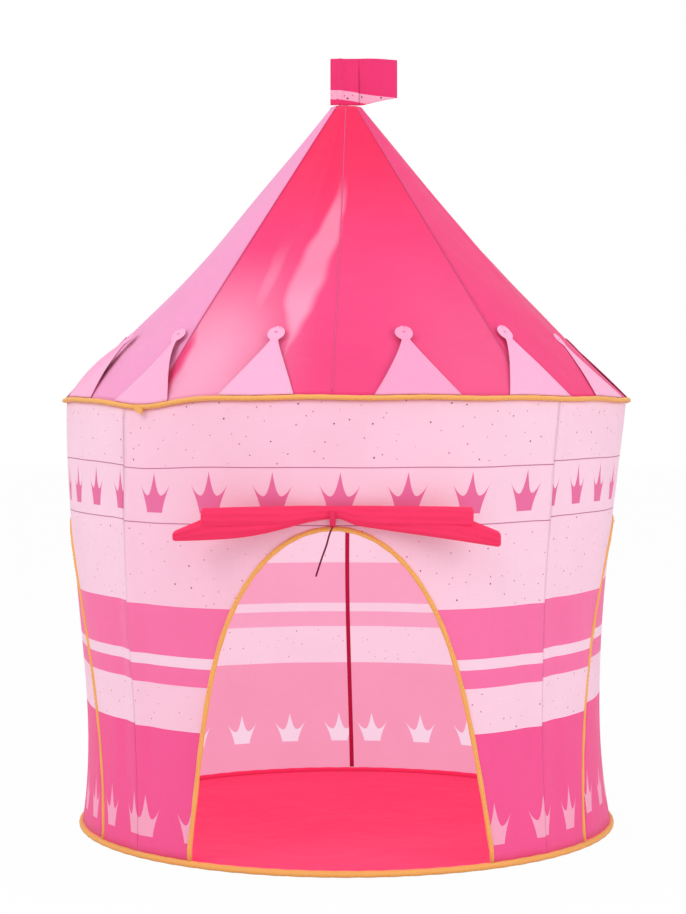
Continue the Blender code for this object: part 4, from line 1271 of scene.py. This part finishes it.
class RolledDoor(Builder):
    """The door rolled up over the doorway: two layers, a tie band and a hanging cord."""

    STATIONS = 170
    SIDES = 48
    CORD_RADIUS = 0.0015
    # from the roll's face to the cord's skin: the band, its gaps and its own thickness
    CORD_GAP = 0.0024
    CORD_STEPS = ((0.0, 0.0, 0.0), (-0.005, -0.003, -0.012), (-0.010, -0.002, -0.030), (-0.018, 0.002, -0.052),
                  (-0.027, 0.004, -0.080))
    LOWER_REACH, LOWER_HALF_DEPTH = (-0.268, 0.260), 0.0125
    UPPER_REACH, UPPER_HALF_DEPTH, UPPER_FORWARD = (-0.222, 0.216), 0.0110, 0.0060
    BAND_WIDTH, BAND_FORWARD, BAND_HALF_DEPTH = 0.009, 0.0035, 0.0125
    BAND_HEIGHT, BAND_HALF_HEIGHT, BAND_PUCKER = 0.5885, 0.0168, 0.0004

    wave = staticmethod(ripple(TENT_SEED + 2, 12))

    def cord(self) -> None:
        """The thin tie cord, on a smooth curve through its steps."""
        front = T.roll_front + T.roll_half_depth * 0.42 * 0.75 + self.CORD_GAP + self.CORD_RADIUS
        route = np.array(self.CORD_STEPS) + (T.band_place, -front, T.roll_height)
        padded = np.concatenate([[route[0] * 2.0 - route[1]], route, [route[-1] * 2.0 - route[-2]]])
        fine = []
        for a, b, c, d in zip(padded, padded[1:], padded[2:], padded[3:]):
            for t in np.arange(12) / 12.0:
                fine.append((b * 2.0 + (c - a) * t + (a * 2.0 - b * 5.0 + c * 4.0 - d) * t * t
                             + (b * 3.0 - a - c * 3.0 + d) * t ** 3) / 2.0)
        line = np.array(fine + [route[-1]])
        radii = [self.CORD_RADIUS * (1.0 + 0.06 * math.sin(step * 2.1)) for step in range(len(line))]
        item = sweep("cord_tie", line, radii, 12, self.fabrics.cord, up=(0.0, -1.0, 0.0))
        dress(item, Body.DOOR, "dark_tape", "tie_cord")

    def layer(self, name: str, reach: tuple[float, float], top: Callable[[float], float],
              bottom: Callable[[float], float], half_depth: float, forward: float, *replaced: str) -> None:
        """One flat folded layer of the roll.

        Args:
            name: the new object's name.
            reach: the ends' places across, in metres.
            top: height of the upper edge at a place across.
            bottom: height of the lower edge at a place across.
            half_depth: half its depth, in metres.
            forward: how far it lies in front of the roll's own line.
            *replaced: CAD nodes that it stands for.
        """
        def spot(share: float, side: int) -> tuple[float, ...]:
            across = reach[0] + (reach[1] - reach[0]) * share
            turn = math.tau * side / self.SIDES
            ends = min(1.0, min(share, 1.0 - share) / 0.010)
            size = 0.72 + 0.28 * math.sqrt(max(0.0, 1.0 - (1.0 - ends) ** 2))
            pinch = 1.0 - 0.35 * bump(across, T.band_place, 0.03)
            middle, half = (top(across) + bottom(across)) / 2.0, (top(across) - bottom(across)) / 2.0
            flat = math.copysign(abs(math.sin(turn)) ** 0.75, math.sin(turn))
            crease = 1.0 + 0.09 * self.wave(across * 1.2, flat * 0.10 + forward * 30.0)
            crease += 0.12 * math.sin(flat * 5.0 + across * 55.0) * bump(abs(across - T.band_place), 0.03, 0.05)
            ridge = 0.10 * math.sin(flat * 9.0 + across * 9.0)
            depth = half_depth * math.copysign(abs(math.cos(turn)) ** 0.8, math.cos(turn)) * size * pinch
            return (across, -T.roll_front - forward - depth * (crease + ridge),
                    middle + half * flat * size * (0.97 + 0.25 * (crease - 1.0)),
                    across, 0.09 * side / (self.SIDES - 1))

        points = grid(np.linspace(0.0, 1.0, self.STATIONS), range(self.SIDES), spot).reshape(-1, 5)
        item = new_object(name, points[:, :3], tube_faces(self.STATIONS, self.SIDES), [self.fabrics.roll],
                          points[:, 3:])
        dress(item, Body.DOOR, "floor_cloth", *replaced)

    @staticmethod
    def lower_edge(across: float) -> float:
        """Height of the roll's lower edge: arched over the doorway."""
        if across < 0.0:
            return 0.5845 - 0.0365 * (1.0 - bump(across, 0.0, 0.115))
        return 0.5770 - 0.147 * across + 0.0075 * bump(across, 0.0, 0.020)

    @staticmethod
    def shoulder(across: float) -> float:
        """Height of the lower layer's upper edge, which falls away at its ends."""
        fall = 0.029 * clip((-across - 0.200) / 0.068) + 0.0285 * clip((across - 0.190) / 0.070)
        return 0.593 - fall + 0.006 * bump(across, T.band_place, 0.05)

    @staticmethod
    def upper_edge(across: float) -> float:
        """Height of the upper layer's upper edge."""
        share = across / 0.22
        return 0.6065 - 0.0030 * share * share + 0.0010 * share

    def build(self) -> None:
        """Builds the rolled door."""
        self.layer("roll_lower", self.LOWER_REACH, self.shoulder, self.lower_edge, self.LOWER_HALF_DEPTH, 0.0,
                   "door_roll")
        self.layer("roll_upper", self.UPPER_REACH, self.upper_edge,
                   lambda x: max(self.lower_edge(x) + 0.002, 0.5725 - 0.002 * abs(x)), self.UPPER_HALF_DEPTH,
                   self.UPPER_FORWARD)

        def spot(row: int, turn: float) -> tuple[float, ...]:
            pucker = self.BAND_PUCKER * math.sin(turn * 9.0 + row)
            return (T.band_place + (row / 4.0 - 0.5) * self.BAND_WIDTH,
                    -T.roll_front - self.BAND_FORWARD - (self.BAND_HALF_DEPTH + pucker) * math.cos(turn),
                    self.BAND_HEIGHT + (self.BAND_HALF_HEIGHT + pucker) * math.sin(turn))

        points = grid(range(4, -1, -1), np.linspace(0.0, math.tau, 49)[:-1], spot)
        item = shell("tape_tie_band", points, T.thin, self.fabrics.tie, uv=points[:, :, [0, 2]], joined=True)
        dress(item, Body.DOOR, "dark_tape", "tie_band")


class Flag(Builder):
    """The flag on its stick, and the cap over the apex."""

    WAVE = 0.0050
    SLEEVE, SLEEVE_BACK, SLEEVE_WIDTH = 0.0040, 0.0042, 0.0045
    CAP_RADIUS, CAP_TIP_RADIUS = 0.0300, 0.0032
    CAP_HEIGHT, CAP_RISE, CAP_FOLD = 1.3215, 0.0065, 0.0012

    def flag(self) -> None:
        """The flag, and the back of the sleeve that holds its stick."""
        left, right = -T.flag_hem - T.stick_offset, T.flag_fly - T.stick_offset
        notch = T.flag_notch - T.stick_offset

        def spot(up: float, x: float) -> tuple[float, ...]:
            share = max(0.0, x - notch) / (right - notch)
            foot = T.flag_corner * share
            rise = (T.flag_height - 0.0025 * share - foot) * up
            away = max(0.0, x + T.stick_offset)
            wave = self.WAVE * math.sin(away * 62.0 + rise * 8.0) * min(1.0, away / 0.03)
            sleeve = self.SLEEVE * bump(x, -T.stick_offset, self.SLEEVE_WIDTH)
            return x, wave - sleeve, T.flag_low + foot + rise, x - left, foot + rise

        points = grid(np.linspace(0.0, 1.0, 34), np.linspace(left, right, 60), spot)
        item = shell("cloth_flag", points, T.trim, self.fabrics.flag)
        dress(item, Body.FLAG, "roof_cloth", "flag")
        sheet("flag_stick")
        behind = points[:, 25:11:-1].copy()
        swell = np.exp(-((behind[:, :, 0] + T.stick_offset) / self.SLEEVE_WIDTH) ** 2)
        behind[:, :, 1] = self.SLEEVE_BACK * swell + T.trim / 2.0
        dress(shell("cloth_flag_sleeve", behind, 0.0008, self.fabrics.flag), Body.FLAG, "roof_cloth")

    def cap(self) -> None:
        """The small cap over the apex."""
        def spot(share: float, angle: float) -> np.ndarray:
            fold = self.CAP_FOLD * math.sin(math.radians(angle) * 8.0) * (1.0 - share)
            radius = self.CAP_RADIUS * (1.0 - share) + self.CAP_TIP_RADIUS * share
            place = polar(angle, radius, self.CAP_HEIGHT + self.CAP_RISE * share ** 0.8 + fold)
            return place - (T.stick_offset * share, 0.0, 0.0)

        points = grid(np.linspace(0.0, 1.0, 9), np.linspace(0.0, 360.0, 49)[:-1], spot)
        item = shell("cloth_cap", points, T.thin, self.fabrics.roof, uv=points[:, :, :2], joined=True)
        dress(item, Body.TENT, "roof_cloth", "apex_cap")

    def build(self) -> None:
        """Builds the flag and the cap."""
        self.flag()
        self.cap()


class Floor(Builder):
    """The floor sheet inside the base hoop."""

    HEIGHT, WRINKLE, EDGE = 0.0020, 0.0022, 0.03
    RINGS, SPOKES = 70, 144

    def build(self) -> None:
        """Builds the floor with soft wrinkles."""
        wave = ripple(TENT_SEED + 3, 10)

        def spot(radius: float, angle: float) -> np.ndarray:
            place = polar(angle, radius, self.HEIGHT)
            fade = min(1.0, (T.floor_radius - radius) / self.EDGE)
            place[2] += self.WRINKLE * (1.0 + wave(place[0] * 0.9, place[1] * 0.9)) * fade
            return place

        radii = T.floor_radius * np.linspace(1.0, 0.0, self.RINGS) + 0.0004
        points = grid(radii, np.linspace(0.0, 360.0, self.SPOKES + 1)[:-1], spot)
        item = shell("cloth_floor", points, T.trim, self.fabrics.floor, uv=points[:, :, :2], joined=True)
        dress(item, Body.TENT, "floor_cloth", "floor_sheet")
        sheet("the ground")


class PoleFrame(Builder):
    """The poles and fittings, which are the CAD's own pieces with a finish."""

    FINISHES = {"_upright": "pole", "_roof_pole": "pole", "_foot": "fitting", "_elbow": "fitting",
                "apex_hub": "fitting", "flag_stick": "pole"}

    def build(self) -> None:
        """Gives each carried-over node its finish."""
        for name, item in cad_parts.items():
            for ending, label in self.FINISHES.items():
                if name.endswith(ending):
                    for place in item.material_slots:
                        place.material = getattr(self.fabrics, label)


@dataclass(frozen=True)
class Lamp:
    """One soft area lamp, aimed at the tent."""

    name: str
    place: Point
    size: float
    power: float


class Studio:
    """Camera, lamps, pale floor and white background."""

    LAMPS = (Lamp("key", (-2.6, -3.0, 3.2), 2.6, 56.0), Lamp("fill", (3.2, -2.6, 1.8), 2.6, 46.0),
             Lamp("top", (0.0, 0.4, 3.8), 2.6, 28.0), Lamp("left", (-3.6, -0.4, 1.2), 2.0, 8.0))
    AIM = (0.0, 0.0, 0.65)
    FLOOR_HALF = 30.0
    FLOOR_HEIGHT = -0.0005
    WHITE = (1.0, 1.0, 1.0)

    def camera(self) -> None:
        """The camera that took the photograph, as fitted."""
        data = bpy.data.cameras.new("camera")
        data.lens = 78.62
        data.sensor_width = 36.0
        data.clip_end = 100.0
        item = link(bpy.data.objects.new("camera", data))
        item.location = (0.088, -3.72, 0.742)
        item.rotation_euler = (math.radians(90.0) - 0.018, 0.0, 0.0254)
        bpy.context.scene.camera = item

    def lights(self) -> None:
        """Soft lamps round the tent."""
        for lamp in self.LAMPS:
            data = bpy.data.lights.new(lamp.name, 'AREA')
            data.shape = 'DISK'
            data.size = lamp.size
            data.energy = lamp.power
            item = link(bpy.data.objects.new(lamp.name, data))
            item.location = lamp.place
            aim = Vector(self.AIM) - Vector(lamp.place)
            item.rotation_euler = aim.to_track_quat('-Z', 'Y').to_euler()

    def ground(self) -> None:
        """A plain pale floor."""
        corners = [(x * self.FLOOR_HALF, y * self.FLOOR_HALF, self.FLOOR_HEIGHT)
                   for x, y in ((-1, -1), (1, -1), (1, 1), (-1, 1))]
        material, nodes, surface = new_material("studio_floor", 0.9)
        nodes.feed(surface, Base_Color=(0.85, 0.85, 0.85))
        shown = nodes.camera_choice(0.97, surface, nodes.node("ShaderNodeEmission"))
        nodes.feed(nodes.tree.nodes["Material Output"], Surface=shown)
        new_object("studio_floor", corners, [(0, 1, 2, 3)], [material], smooth=False)

    def world(self) -> None:
        """Soft light from all round, and plain white behind the tent for the camera."""
        world = bpy.data.worlds.new("studio")
        world.use_nodes = True
        nodes = Nodes(world.node_tree)
        soft, plain = (nodes.feed(nodes.node("ShaderNodeBackground"), Color=self.WHITE, Strength=strength)
                       for strength in (0.65, 1.0))
        nodes.feed(nodes.node("ShaderNodeOutputWorld"), Surface=nodes.camera_choice(1.0, soft, plain))
        bpy.context.scene.world = world

    def build(self) -> None:
        """Builds the studio."""
        self.camera()
        self.lights()
        self.ground()
        self.world()
        view = bpy.context.scene.view_settings
        view.view_transform = 'Standard'
        view.look = 'None'


def main() -> None:
    """Builds the studio and every piece of the tent, in order."""
    logging.basicConfig(level=logging.INFO)
    Studio().build()
    fabrics = Fabrics()
    stitcher = Stitcher()
    door = RolledDoor(fabrics)
    door.cord()
    Walls(fabrics).build()
    Roof(fabrics, stitcher).build()
    Bindings(fabrics, stitcher).build()
    door.build()
    Flag(fabrics).build()
    Floor(fabrics).build()
    PoleFrame(fabrics).build()
    log.info("tent built")


if __name__ == "__main__":
    main()
